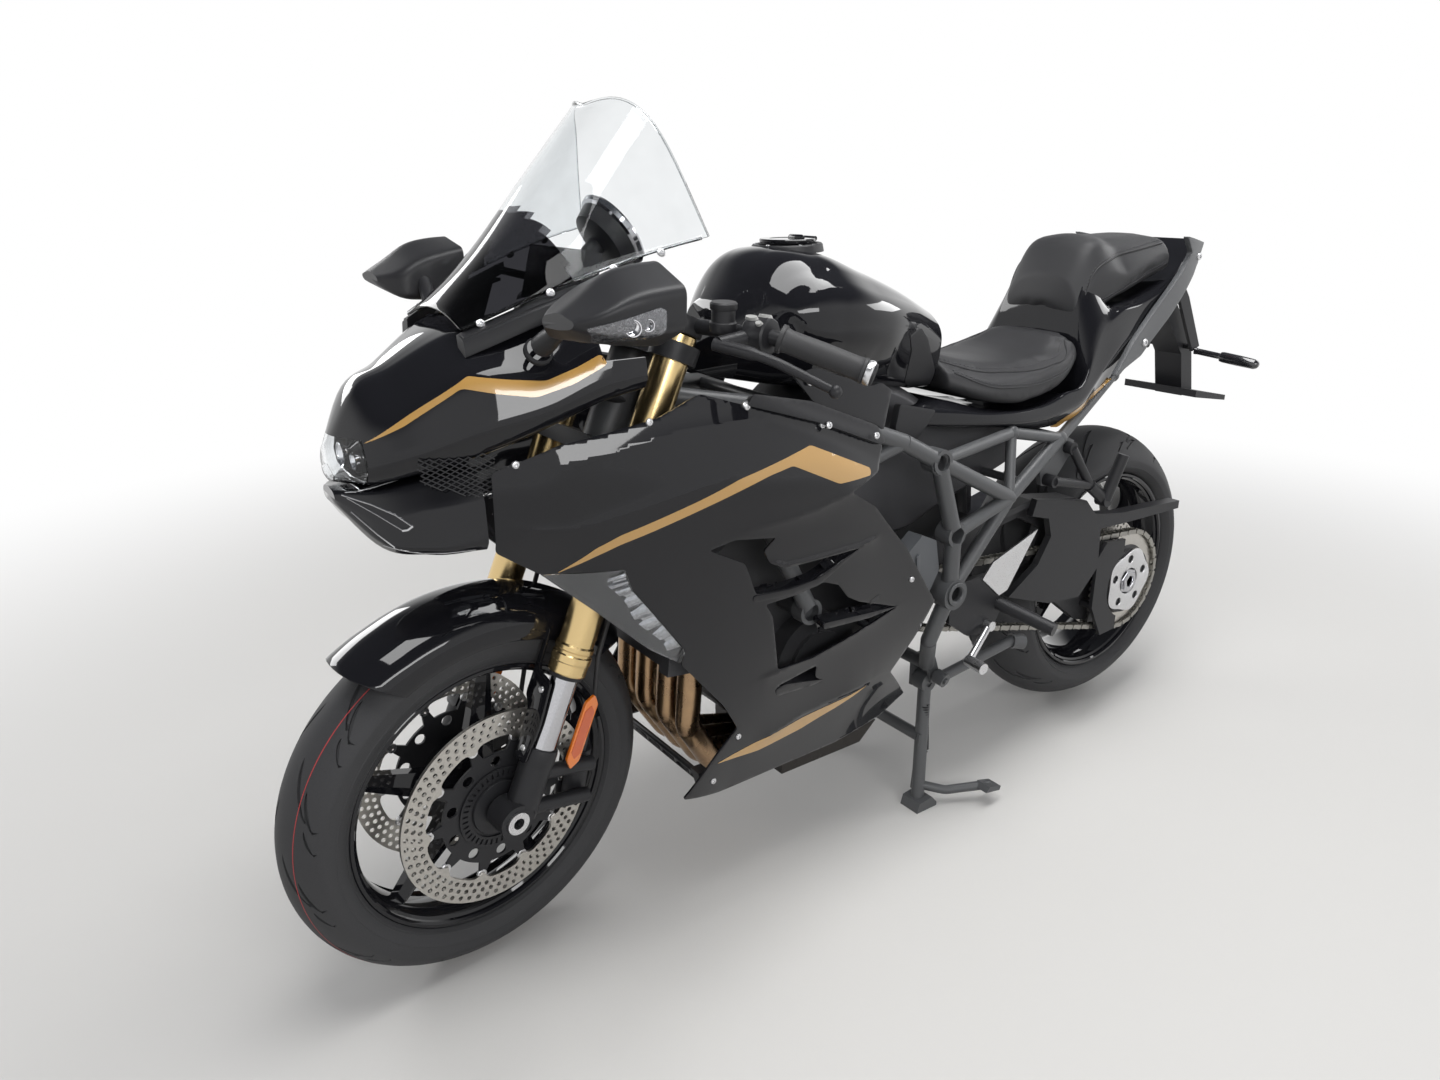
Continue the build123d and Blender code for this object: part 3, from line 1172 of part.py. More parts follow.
def make_centre_stand():
    parts = []
    for side in (1, -1):
        top = (side * STAND_HALF_TOP, *STAND_PIVOT)
        foot = (side * STAND_HALF_FOOT, 62, 14)
        parts.append(rod(top, foot, STAND_LEG_R))
        x_low, x_high = sorted((side * (STAND_HALF_TOP - 17), side * (STAND_HALF_TOP + 12)))
        parts.append(drum(x_low, x_high, STAND_PIVOT, 20))
        web = [(62 + 8, 150), (60, 30), (84, 40), (96, 140)]
        x_web = side * (STAND_HALF_TOP + 22)
        parts.append(side_plate(web, *sorted((x_web - 3, x_web + 3))))
        lo, hi = sorted((side * (STAND_HALF_FOOT - 22), side * (STAND_HALF_FOOT + 24)))
        parts.append(side_plate([(38, 0), (92, 0), (92, 8), (78, 24), (44, 20)], lo, hi))
    parts.append(rod((-128, 80, 140), (128, 80, 140), 12))
    parts.append(pipe([(STAND_HALF_FOOT - 4, 66, 44), (178, 110, 30), (222, 190, 36)], 9, 40))
    parts.append(side_plate([(160, 36), (200, 28), (204, 36), (170, 46)], 208, 240))
    whole = joined(parts)
    return whole - drum(-140, 140, STAND_PIVOT, STAND_PIN_R + RUNNING_GAP)


def make_side_stand():
    boss = rod(side_point(-9), side_point(14), 14)
    leg = rod(SIDE_PIVOT + Vector(0, 4, 0), (141, 320, 286), 11)
    foot = rod((141, 318, 286), (150, 345, 280), 16)
    return joined([boss, leg, foot]) - rod(side_point(-20), side_point(20), SIDE_PIN_R + RUNNING_GAP)


NODES = {
    "frame": make_frame,
    "engine": make_engine,
    "sprocket_cover": make_sprocket_cover,
    "radiator": make_radiator,
    "headers": make_headers,
    "silencer": make_silencer,
    "fuel_tank": make_fuel_tank,
    "fuel_cap": make_fuel_cap,
    "rider_seat": make_rider_seat,
    "passenger_seat": make_passenger_seat,
    "tail_cowl": make_tail_cowl,
    "grab_rails": make_grab_rails,
    "tail_lamp": make_tail_lamp,
    "plate_holder": make_plate_holder,
    "rear_signals": make_rear_signals,
    "nose_cowl": make_nose_cowl,
    "headlamp": make_headlamp,
    "chin": make_chin,
    "nose_grilles": make_nose_grilles,
    "windscreen": make_windscreen,
    "mirrors": make_mirrors,
    "fairing_left": make_fairing_left,
    "fairing_right": make_fairing_right,
    "cornering_lamps": make_cornering_lamps,
    "side_covers": make_side_covers,
    "belly_brace": make_belly_brace,
    "cockpit": make_cockpit,
    "swingarm": make_swingarm,
    "swingarm_cover": make_swingarm_cover,
    "hub_guard": make_hub_guard,
    "chain_guard": make_chain_guard,
    "rear_shock": make_rear_shock,
    "rear_caliper": make_rear_caliper,
    "chain": make_chain,
    "foot_pegs": make_foot_pegs,
    "foot_controls": make_foot_controls,
    "fork_lugs": make_fork_lugs,
    "stanchions": make_stanchions,
    "fork_tubes": make_fork_tubes,
    "yokes": make_yokes,
    "front_axle": make_front_axle,
    "front_calipers": make_front_calipers,
    "front_fender": make_front_fender,
    "reflectors": make_reflectors,
    "brake_hoses": make_brake_hoses,
    "handlebars": make_handlebars,
    "hand_controls": make_hand_controls,
    "front_tyre": make_front_tyre,
    "front_wheel": make_front_wheel,
    "front_discs": make_front_discs,
    "rear_tyre": make_rear_tyre,
    "rear_wheel": make_rear_wheel,
    "rear_disc": make_rear_disc,
    "rear_sprocket": make_rear_sprocket,
    "centre_stand": make_centre_stand,
    "side_stand": make_side_stand,
}


def write_all():
    """Write one file for each node."""
    os.makedirs("parts", exist_ok=True)
    for name, maker in NODES.items():
        shape = maker()
        if isinstance(shape, list):
            shape = Compound(children=shape)
        export_step(shape, f"parts/{name}.step")
        box = shape.bounding_box()
        print(name, round(shape.volume), [round(v) for v in (*box.min, *box.max)])


write_all()
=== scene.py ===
import json
import math

import bmesh
import bpy
from mathutils import Matrix, Vector
from mathutils.geometry import delaunay_2d_cdt

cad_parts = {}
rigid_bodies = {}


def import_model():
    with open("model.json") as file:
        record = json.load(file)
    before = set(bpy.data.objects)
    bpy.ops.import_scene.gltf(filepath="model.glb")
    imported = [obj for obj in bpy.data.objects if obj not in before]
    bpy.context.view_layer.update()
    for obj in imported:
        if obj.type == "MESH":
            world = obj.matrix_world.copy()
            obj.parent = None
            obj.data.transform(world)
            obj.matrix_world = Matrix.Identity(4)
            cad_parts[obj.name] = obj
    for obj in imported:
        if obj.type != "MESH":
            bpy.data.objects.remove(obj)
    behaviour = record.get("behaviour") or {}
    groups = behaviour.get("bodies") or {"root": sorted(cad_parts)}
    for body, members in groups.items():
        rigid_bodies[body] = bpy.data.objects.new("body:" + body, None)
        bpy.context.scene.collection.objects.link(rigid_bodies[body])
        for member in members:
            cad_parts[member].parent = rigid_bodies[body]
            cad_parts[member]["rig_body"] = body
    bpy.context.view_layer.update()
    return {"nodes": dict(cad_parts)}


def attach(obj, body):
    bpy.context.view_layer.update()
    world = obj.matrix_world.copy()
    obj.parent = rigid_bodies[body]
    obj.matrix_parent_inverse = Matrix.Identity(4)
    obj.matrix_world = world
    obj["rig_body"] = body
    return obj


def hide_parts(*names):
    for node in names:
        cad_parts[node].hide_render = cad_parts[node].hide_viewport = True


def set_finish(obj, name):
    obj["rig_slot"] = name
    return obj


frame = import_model()
nodes = frame["nodes"]


# The camera stands where the photographer held the phone: ahead of the machine, on its left,
# a little above the bars. Its place and lens come from the outlines of both wheels.

CAMERA_PLACE = Vector((1.34836, -1.25199, 1.19466))
CAMERA_AIM = Vector((-0.77048, 0.53919, -0.34004)).normalized()
CAMERA_ROLL = math.radians(-0.5455)
LENS_PX = 1016.52
PHOTO_WIDE = 1440

camera_data = bpy.data.cameras.new("camera")
camera_data.sensor_width = 36.0
camera_data.lens = LENS_PX / PHOTO_WIDE * 36.0
camera_data.clip_start = 0.02
camera = bpy.data.objects.new("camera", camera_data)
level = CAMERA_AIM.cross(Vector((0, 0, 1))).normalized()
above = level.cross(CAMERA_AIM)
across = level * math.cos(CAMERA_ROLL) + above * math.sin(CAMERA_ROLL)
upward = above * math.cos(CAMERA_ROLL) - level * math.sin(CAMERA_ROLL)
turned = Matrix((across, upward, -CAMERA_AIM)).transposed().to_4x4()
camera.matrix_world = Matrix.Translation(CAMERA_PLACE) @ turned
bpy.context.scene.collection.objects.link(camera)
bpy.context.scene.camera = camera
bpy.context.scene.view_settings.view_transform = "Standard"


# The floor is a plain pale sheet that takes the machine's shadow and fades into a white room,
# which the camera, metal and glass see alike. Soft panels light it from overhead and both sides.

def new_material(name):
    made = bpy.data.materials.new(name)
    made.use_nodes = True
    made.node_tree.nodes.clear()
    return made, made.node_tree.nodes, made.node_tree.links


def linked(wire, *pairs):
    """Joins sockets in pairs, from and to."""
    for start, end in pairs:
        wire.new(start, end)


def seen_rays(tree, wire):
    """1 for rays from the camera, in a reflection or through glass."""
    rays = tree.new("ShaderNodeLightPath")
    first = tree.new("ShaderNodeMath")
    first.operation = "MAXIMUM"
    both = tree.new("ShaderNodeMath")
    both.operation = "MAXIMUM"
    linked(wire, (rays.outputs["Is Camera Ray"], first.inputs[0]),
           (rays.outputs["Is Glossy Ray"], first.inputs[1]), (first.outputs[0], both.inputs[0]),
           (rays.outputs["Is Transmission Ray"], both.inputs[1]))
    return both.outputs[0]


floor_mesh = bpy.data.meshes.new("floor")
floor_mesh.from_pydata([(-30, -30, 0), (30, -30, 0), (30, 30, 0), (-30, 30, 0)], [], [(0, 1, 2, 3)])
floor = bpy.data.objects.new("floor", floor_mesh)
floor.location.z = -0.0006
bpy.context.scene.collection.objects.link(floor)
floor_paint, tree, wire = new_material("pale_floor")
matt = tree.new("ShaderNodeBsdfPrincipled")
matt.inputs["Base Color"].default_value = (0.60, 0.59, 0.57, 1)
matt.inputs["Roughness"].default_value = 0.72
bright = tree.new("ShaderNodeEmission")
place = tree.new("ShaderNodeTexCoord")
reach = tree.new("ShaderNodeVectorMath")
reach.operation = "LENGTH"
fade = tree.new("ShaderNodeMapRange")
fade.interpolation_type = "SMOOTHSTEP"
fade.inputs["From Min"].default_value = 1.5
fade.inputs["From Max"].default_value = 3.6
gate = tree.new("ShaderNodeMath")
gate.operation = "MULTIPLY"
blend = tree.new("ShaderNodeMixShader")
out = tree.new("ShaderNodeOutputMaterial")
linked(wire, (place.outputs["Object"], reach.inputs[0]), (reach.outputs["Value"], fade.inputs["Value"]),
       (fade.outputs["Result"], gate.inputs[0]), (seen_rays(tree, wire), gate.inputs[1]),
       (gate.outputs[0], blend.inputs["Fac"]), (matt.outputs["BSDF"], blend.inputs[1]),
       (bright.outputs["Emission"], blend.inputs[2]), (blend.outputs["Shader"], out.inputs["Surface"]))
floor_mesh.materials.append(floor_paint)

room = bpy.data.worlds.new("room")
room.use_nodes = True
bpy.context.scene.world = room
tree, wire = room.node_tree.nodes, room.node_tree.links
tree.clear()
soft_air = tree.new("ShaderNodeBackground")
soft_air.inputs["Color"].default_value = (0.93, 0.95, 1.0, 1)
soft_air.inputs["Strength"].default_value = 0.40
white_room = tree.new("ShaderNodeBackground")
white_room.inputs["Strength"].default_value = 1.0
place = tree.new("ShaderNodeTexCoord")
parts = tree.new("ShaderNodeSeparateXYZ")
climb = tree.new("ShaderNodeMapRange")
climb.interpolation_type = "SMOOTHSTEP"
climb.inputs["From Min"].default_value = 0.30
climb.inputs["From Max"].default_value = 0.62
dusk = tree.new("ShaderNodeMix")
dusk.data_type = "RGBA"
dusk.inputs["A"].default_value = (1, 1, 1, 1)
dusk.inputs["B"].default_value = (0.10, 0.105, 0.115, 1)
choice = tree.new("ShaderNodeMixShader")
out = tree.new("ShaderNodeOutputWorld")
linked(wire, (place.outputs["Generated"], parts.inputs[0]), (parts.outputs["Z"], climb.inputs["Value"]),
       (climb.outputs["Result"], dusk.inputs["Factor"]),
       (dusk.outputs["Result"], white_room.inputs["Color"]),
       (seen_rays(tree, wire), choice.inputs["Fac"]), (soft_air.outputs[0], choice.inputs[1]),
       (white_room.outputs[0], choice.inputs[2]), (choice.outputs[0], out.inputs["Surface"]))

for name, place, aim, size, power in (
    ("overhead", (0.4, 0.1, 3.4), (0, 0, 0.6), (3.6, 1.0), 95),
    ("left_window", (3.2, -0.8, 1.9), (0, -0.2, 0.6), (2.6, 0.5), 40),
    ("right_window", (-3.2, -1.6, 2.0), (0, -0.4, 0.7), (2.2, 0.8), 36),
    ("behind", (0.6, 3.4, 2.2), (0, 0.5, 0.7), (2.4, 0.6), 26),
):
    lamp = bpy.data.lights.new(name, "AREA")
    lamp.shape = "RECTANGLE"
    lamp.size, lamp.size_y = size
    lamp.energy = power
    stand = bpy.data.objects.new(name, lamp)
    stand.location = place
    stand.rotation_euler = (Vector(aim) - Vector(place)).to_track_quat("-Z", "Y").to_euler()
    bpy.context.scene.collection.objects.link(stand)


# The frame is a trellis of welded round steel tube with machined bosses, painted satin dark
# grey. The engine hangs in it, and the tank, seats, tail and fairing are all bolted to it.

def new_group(name, sockets_in, sockets_out):
    """An empty shader effect with named sockets."""
    made = bpy.data.node_groups.new(name, "ShaderNodeTree")
    for label, kind, value in sockets_in:
        socket = made.interface.new_socket(label, in_out="INPUT", socket_type=kind)
        if value is not None:
            socket.default_value = value
    for label, kind in sockets_out:
        made.interface.new_socket(label, in_out="OUTPUT", socket_type=kind)
    return made, made.nodes.new("NodeGroupInput"), made.nodes.new("NodeGroupOutput")


mottle, entry, leave = new_group(
    "mottle",
    [("Vector", "NodeSocketVector", None), ("Scale", "NodeSocketFloat", 40.0),
     ("Light", "NodeSocketColor", (0.1, 0.1, 0.1, 1)), ("Dark", "NodeSocketColor", (0, 0, 0, 1)),
     ("Smooth", "NodeSocketFloat", 0.3), ("Rough", "NodeSocketFloat", 0.5)],
    [("Color", "NodeSocketColor"), ("Roughness", "NodeSocketFloat"), ("Height", "NodeSocketFloat")])
cloud = mottle.nodes.new("ShaderNodeTexNoise")
cloud.inputs["Detail"].default_value = 3.0
shades = mottle.nodes.new("ShaderNodeMix")
shades.data_type = "RGBA"
sheen = mottle.nodes.new("ShaderNodeMapRange")
linked(mottle.links, (entry.outputs["Vector"], cloud.inputs["Vector"]),
       (entry.outputs["Scale"], cloud.inputs["Scale"]), (cloud.outputs["Fac"], shades.inputs["Factor"]),
       (entry.outputs["Dark"], shades.inputs["A"]), (entry.outputs["Light"], shades.inputs["B"]),
       (cloud.outputs["Fac"], sheen.inputs["Value"]), (entry.outputs["Smooth"], sheen.inputs["To Min"]),
       (entry.outputs["Rough"], sheen.inputs["To Max"]), (shades.outputs["Result"], leave.inputs["Color"]),
       (sheen.outputs["Result"], leave.inputs["Roughness"]), (cloud.outputs["Fac"], leave.inputs["Height"]))


def finish_of(name, light, dark, smooth, rough, scale, bump=0.0, metal=0.0, coat=0.0, **constants):
    """Material from the mottle effect: two close shades, two roughnesses and a fine relief."""
    made, tree, wire = new_material(name)
    place = tree.new("ShaderNodeTexCoord")
    effect = tree.new("ShaderNodeGroup")
    effect.node_tree = mottle
    for socket, value in (("Scale", scale), ("Light", (*light, 1)), ("Dark", (*dark, 1)),
                          ("Smooth", smooth), ("Rough", rough)):
        effect.inputs[socket].default_value = value
    body = tree.new("ShaderNodeBsdfPrincipled")
    body.inputs["Metallic"].default_value = metal
    body.inputs["Coat Weight"].default_value = coat
    body.inputs["Coat Roughness"].default_value = 0.03
    for socket, value in constants.items():
        body.inputs[socket.replace("_", " ")].default_value = value
    linked(wire, (place.outputs["Object"], effect.inputs["Vector"]),
           (effect.outputs["Color"], body.inputs["Base Color"]),
           (effect.outputs["Roughness"], body.inputs["Roughness"]))
    if bump:
        relief = tree.new("ShaderNodeBump")
        relief.inputs["Strength"].default_value = 0.6
        relief.inputs["Distance"].default_value = bump
        wire.new(effect.outputs["Height"], relief.inputs["Height"])
        wire.new(relief.outputs["Normal"], body.inputs["Normal"])
    out = tree.new("ShaderNodeOutputMaterial")
    wire.new(body.outputs["BSDF"], out.inputs["Surface"])
    return made


def placed(name, mesh):
    """A new object for a mesh, at the origin."""
    made = bpy.data.objects.new(name, mesh)
    bpy.context.scene.collection.objects.link(made)
    return made


def meshed(name, verts, faces, merge=True, turn=True):
    """A new mesh, its doubles merged and its faces outwards."""
    mesh = bpy.data.meshes.new(name)
    mesh.from_pydata([tuple(v) for v in verts], [], faces)
    work = bmesh.new()
    work.from_mesh(mesh)
    if merge:
        bmesh.ops.remove_doubles(work, verts=work.verts, dist=2e-6)
    if turn:
        bmesh.ops.recalc_face_normals(work, faces=work.faces)
    work.to_mesh(mesh)
    work.free()
    return mesh


def declared(made, body, slot, stands_for):
    """Tells the frame which body a piece rides on, its slot and the nodes it stands for."""
    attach(made, body)
    if slot:
        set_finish(made, slot)
    if stands_for:
        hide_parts(*stands_for)
    return made


def dress(node, material):
    """Gives a node that keeps its own shape a better finish."""
    mesh = nodes[node].data
    mesh.materials.clear()
    mesh.materials.append(material)


def piece(name, verts, faces, material, body, slot=None, angle=30, stands_for=(), turn=True):
    """A new mesh piece in place, its faces outwards, smooth but for edges sharper than the angle."""
    return settle(name, meshed(name, verts, faces, turn=turn), material, body, slot, angle, stands_for)


def settle(name, mesh, material, body, slot=None, angle=30, stands_for=()):
    """Makes the piece's object, with its finish, its body and what it stands for."""
    mesh.shade_smooth()
    mesh.set_sharp_from_angle(angle=math.radians(angle))
    mesh.materials.clear()
    mesh.materials.append(material)
    return declared(placed(name, mesh), body, slot, stands_for)


def finished(made, angle=30):
    """Turns a piece's modifiers into its plain mesh."""
    seen = bpy.context.evaluated_depsgraph_get()
    mesh = bpy.data.meshes.new_from_object(made.evaluated_get(seen))
    made.modifiers.clear()
    made.data = mesh
    mesh.shade_smooth()
    mesh.set_sharp_from_angle(angle=math.radians(angle))
    return made


def mirrored(made, name, stands_for=()):
    """The same piece on the machine's other side."""
    mesh = made.data.copy()
    mesh.transform(Matrix.Diagonal((-1, 1, 1, 1)))
    mesh.flip_normals()
    return declared(placed(name, mesh), made["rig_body"], made.get("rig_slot"), stands_for)


charcoal = finish_of("frame_grey", (0.085, 0.087, 0.090), (0.058, 0.060, 0.063), 0.36, 0.48, 900,
                     bump=0.0001)
dress("frame", charcoal)


def round_frame(axis):
    """Two directions square to an axis."""
    axis = Vector(axis).normalized()
    aside = axis.orthogonal().normalized()
    return axis, aside, axis.cross(aside)


def lathe(profile, centre, axis, count=32, closed=False):
    """Surface turned about an axis: profile is (along, radius) in mm."""
    axis, aside, third = round_frame(axis)
    centre = Vector(centre)
    verts, faces = [], []
    for along, radius in profile:
        for i in range(count):
            a = 2 * math.pi * i / count
            spot = centre + axis * along + (aside * math.cos(a) + third * math.sin(a)) * radius
            verts.append(tuple(spot / 1000))
    rings = len(profile)
    for k in range(rings if closed else rings - 1):
        for i in range(count):
            j, up = (i + 1) % count, (k + 1) % rings
            faces.append((k * count + i, k * count + j, up * count + j, up * count + i))
    return verts, faces


def quads(rows, count, closed=True):
    """Faces between rows of points, round each row or only along it."""
    return [(k * count + i, k * count + (i + 1) % count, (k + 1) * count + (i + 1) % count,
             (k + 1) * count + i)
            for k in range(rows) for i in range(count if closed else count - 1)]


def together(parts):
    """Several (vertices, faces) as one."""
    verts, faces = [], []
    for more, loops in parts:
        base = len(verts)
        verts += list(more)
        faces += [tuple(i + base for i in loop) for loop in loops]
    return verts, faces


def both_sides(made):
    """Vertices and faces with their mirror image."""
    verts, faces = made
    return together([made, ([(-x, y, z) for x, y, z in verts], [tuple(reversed(f)) for f in faces])])


# End rings of the frame's bosses: turned, in the same charcoal finish as the frame.
BOSSES = [(192, 18, 725), (184, 69, 583), (202, 72, 472)]
rings = [lathe([(0, 13), (0, 21), (2.5, 22.5), (4, 21.5), (4, 16), (2, 14), (-6, 13.5)], spot, (1, 0, 0),
               36)
         for spot in BOSSES]
piece("boss_rings", *both_sides(together(rings)), charcoal, "root", "frame_grey", 40)


# The engine sits as one closed block in the frame. Its black cases are cast, with ribs and
# covers, and the chain runs off behind a smooth cover on the left.

cases = finish_of("engine_black", (0.034, 0.034, 0.036), (0.016, 0.016, 0.018), 0.42, 0.62, 700,
                  bump=0.0003, Specular_IOR_Level=0.35)
grey_cast = finish_of("cast_grey", (0.105, 0.110, 0.118), (0.075, 0.080, 0.086), 0.40, 0.52, 800,
                      bump=0.0002)
dress("engine", cases)
dress("sprocket_cover", grey_cast)


def inside(spot, outline):
    """Whether a point lies in a closed outline."""
    y, z = spot
    hit = False
    for i in range(len(outline)):
        (y1, z1), (y2, z2) = outline[i - 1], outline[i]
        if (z1 > z) != (z2 > z) and y < (y2 - y1) * (z - z1) / (z2 - z1) + y1:
            hit = not hit
    return hit


def softened(outline, radius=6, steps=4):
    """The outline with its corners rounded."""
    made = []
    for i in range(len(outline)):
        a, b, c = (Vector(outline[k % len(outline)]) for k in (i - 1, i, i + 1))
        back, on = a - b, c - b
        cut = min(radius, back.length * 0.45, on.length * 0.45)
        start, end = b + back.normalized() * cut, b + on.normalized() * cut
        for s in range(steps + 1):
            t = s / steps
            made.append(tuple(start * (1 - t) ** 2 + b * 2 * t * (1 - t) + end * t * t))
    return made


def circle(y, z, radius, count=16, turn=0.0):
    """Points round a circle; turn is a share of the step between two of them."""
    return [(y + radius * math.cos(a), z + radius * math.sin(a))
            for a in (2 * math.pi * (k + turn) / count for k in range(count))]


def outlined(loops):
    """The points of closed loops, and the edges between them."""
    spots, edges = [], []
    for loop in loops:
        base = len(spots)
        spots += loop
        edges += [(base + i, base + (i + 1) % len(loop)) for i in range(len(loop))]
    return spots, edges


def filled(spots, edges, wanted, fine=1e-4):
    """Flat triangles between points and edges, kept where their centres are wanted."""
    points, _, triangles, _, _, _ = delaunay_2d_cdt([Vector(s) for s in spots], edges, [], 0, fine)
    return points, [tuple(tri) for tri in triangles
                    if wanted(sum((points[i] for i in tri), Vector((0, 0))) / 3)]


def within(loops):
    """Test for points inside the first loop and outside the others."""
    return lambda spot: inside(spot, loops[0]) and not any(inside(spot, hole) for hole in loops[1:])


def plate(loops, x_low, x_high):
    """Flat plate in the side view: the first loop is its outline, the others are holes; mm."""
    return thickened(*filled(*outlined(loops), within(loops)), x_low, x_high)


def thickened(points, kept, x_low, x_high):
    """Triangles in the side view given two faces and the rim between them."""
    count = len(points)
    verts = [(x / 1000, p.x / 1000, p.y / 1000) for x in (x_low, x_high) for p in points]
    faces = [tuple(reversed(tri)) for tri in kept] + [tuple(i + count for i in tri) for tri in kept]
    rim = {}
    for tri in kept:
        for k in range(3):
            a, b = tri[k], tri[(k + 1) % 3]
            if (b, a) in rim:
                del rim[(b, a)]
            else:
                rim[(a, b)] = True
    faces += [(a, b, b + count, a + count) for a, b in rim]
    return verts, faces


def eased(made, width, segments=2, angle=35):
    """Rounds over a piece's hard edges."""
    soft = made.modifiers.new("edge", "BEVEL")
    soft.width = width
    soft.segments = segments
    soft.limit_method = "ANGLE"
    soft.angle_limit = math.radians(angle)
    soft.use_clamp_overlap = True
    return finished(made, 40)


# Ribs cast on the drive cover, which shows as a grey box above the fairing's rear edge.
ribs = [plate([softened([(-70 + k * 19, 470), (-76 + k * 19, 540 + k * 6), (-69 + k * 19, 546 + k * 6),
                         (-62 + k * 19, 474)], 1.5, 2)], 182, 187) for k in range(4)]
cover_ribs = piece("cover_ribs", *together(ribs), grey_cast, "root", "cast_grey")
eased(cover_ribs, 0.0012)


# Four bent header pipes in bronzed steel drop from the head, over a radiator of fine fins.

bronze = finish_of("exhaust_bronze", (0.50, 0.33, 0.18), (0.26, 0.17, 0.11), 0.2, 0.36, 26, metal=1.0)
dark_steel = finish_of("silencer_metal", (0.14, 0.14, 0.15), (0.08, 0.08, 0.09), 0.25, 0.4, 60, metal=1.0)
core = finish_of("radiator_alloy", (0.085, 0.085, 0.09), (0.03, 0.03, 0.034), 0.35, 0.5, 1200, metal=0.6,
                 bump=0.0004)

# Only the front pipes are bronzed by the heat: the collector box behind them stays dark steel.
tree, wire = bronze.node_tree.nodes, bronze.node_tree.links
effect = next(node for node in tree if node.type == "GROUP")
surface = next(node for node in tree if node.type == "BSDF_PRINCIPLED")
place = next(node for node in tree if node.type == "TEX_COORD")
split = tree.new("ShaderNodeSeparateXYZ")
reach = tree.new("ShaderNodeMapRange")
reach.inputs["From Min"].default_value = -0.275
reach.inputs["From Max"].default_value = -0.255
two_tone = tree.new("ShaderNodeMix")
two_tone.data_type = "RGBA"
two_tone.inputs["B"].default_value = (0.045, 0.042, 0.040, 1)
linked(wire, (place.outputs["Object"], split.inputs["Vector"]), (split.outputs["Y"], reach.inputs["Value"]),
       (reach.outputs["Result"], two_tone.inputs["Factor"]),
       (effect.outputs["Color"], two_tone.inputs["A"]),
       (two_tone.outputs["Result"], surface.inputs["Base Color"]))
dress("headers", bronze)
dress("silencer", dark_steel)
dress("radiator", core)


# The rear fork is one cast arm, open on the right of the wheel, with a bulged black cover over
# its left wall, a flat chain guard, and one coil spring and damper behind the engine.

satin = finish_of("satin_black", (0.022, 0.022, 0.024), (0.013, 0.013, 0.015), 0.36, 0.50, 1400,
                  bump=0.00012, Specular_IOR_Level=0.32)
dress("swingarm", cases)
dress("swingarm_cover", satin)
dress("chain_guard", satin)
dress("rear_shock", satin)


# Both tyres are moulded rubber: a round crown with curved grooves, smooth shoulders and fine
# rings on the walls. The front one carries a thin red line beside its centre.

rubber = finish_of("tyre_rubber", (0.046, 0.046, 0.048), (0.028, 0.028, 0.030), 0.52, 0.72, 420,
                   bump=0.00025, Specular_IOR_Level=0.35)
FRONT_WHEEL = Vector((0, -787.5, 299.72))
REAR_WHEEL = Vector((0, 692.5, 332))
STEER_POINT = Vector((0, -758.45, 287.07))
STEER_DIR = Vector((0, math.sin(math.radians(24)), math.cos(math.radians(24))))
FORWARD = Vector((0, -math.cos(math.radians(24)), math.sin(math.radians(24))))
PARKED = Matrix.Rotation(math.radians(8.3), 4, STEER_DIR)


def on_wheel(centre, x, r, a):
    """A point in metres beside a wheel's middle, at a radius and an angle from the top, forwards."""
    return (centre.x + x) / 1000, (centre.y - r * math.sin(a)) / 1000, (centre.z + r * math.cos(a)) / 1000


def steered(made):
    """Turns a straight-ahead piece to the angle at which the machine is parked."""
    verts, faces = made
    pivot = STEER_POINT / 1000
    return [tuple(pivot + PARKED @ (Vector(v) - pivot)) for v in verts], faces


# (across at its start, at its end, along at its start, at its end, half width), shares of half a crown
GROOVES = [(0.17, 0.60, 0.03, 0.62, 0.044), (0.50, 0.78, 0.30, 0.72, 0.038),
           (0.62, 0.84, 0.70, 0.97, 0.032)]
GROOVE_DEEP = 3.4


def groove(start, end, low, high, half, reach, pitch, shrink):
    """Closed outline of one curved groove, pointed at both ends."""
    steps = 8
    sides = ([], [])
    for k in range(steps + 1):
        u = k / steps
        share = max(0.0, math.sin(math.pi * u)) ** 0.6
        across = (start + (end - start) * u ** 1.5) * reach
        along = (low + (high - low) * u) * pitch
        wide = max(half * reach * share - shrink, 0.05)
        slip = shrink * 2 * (1 - 2 * u)
        sides[0].append((across - wide, along + slip))
        sides[1].append((across + wide, along + slip))
    return sides[0][1:-1] + [sides[0][-1]] + sides[1][1:-1][::-1] + [sides[0][0]]


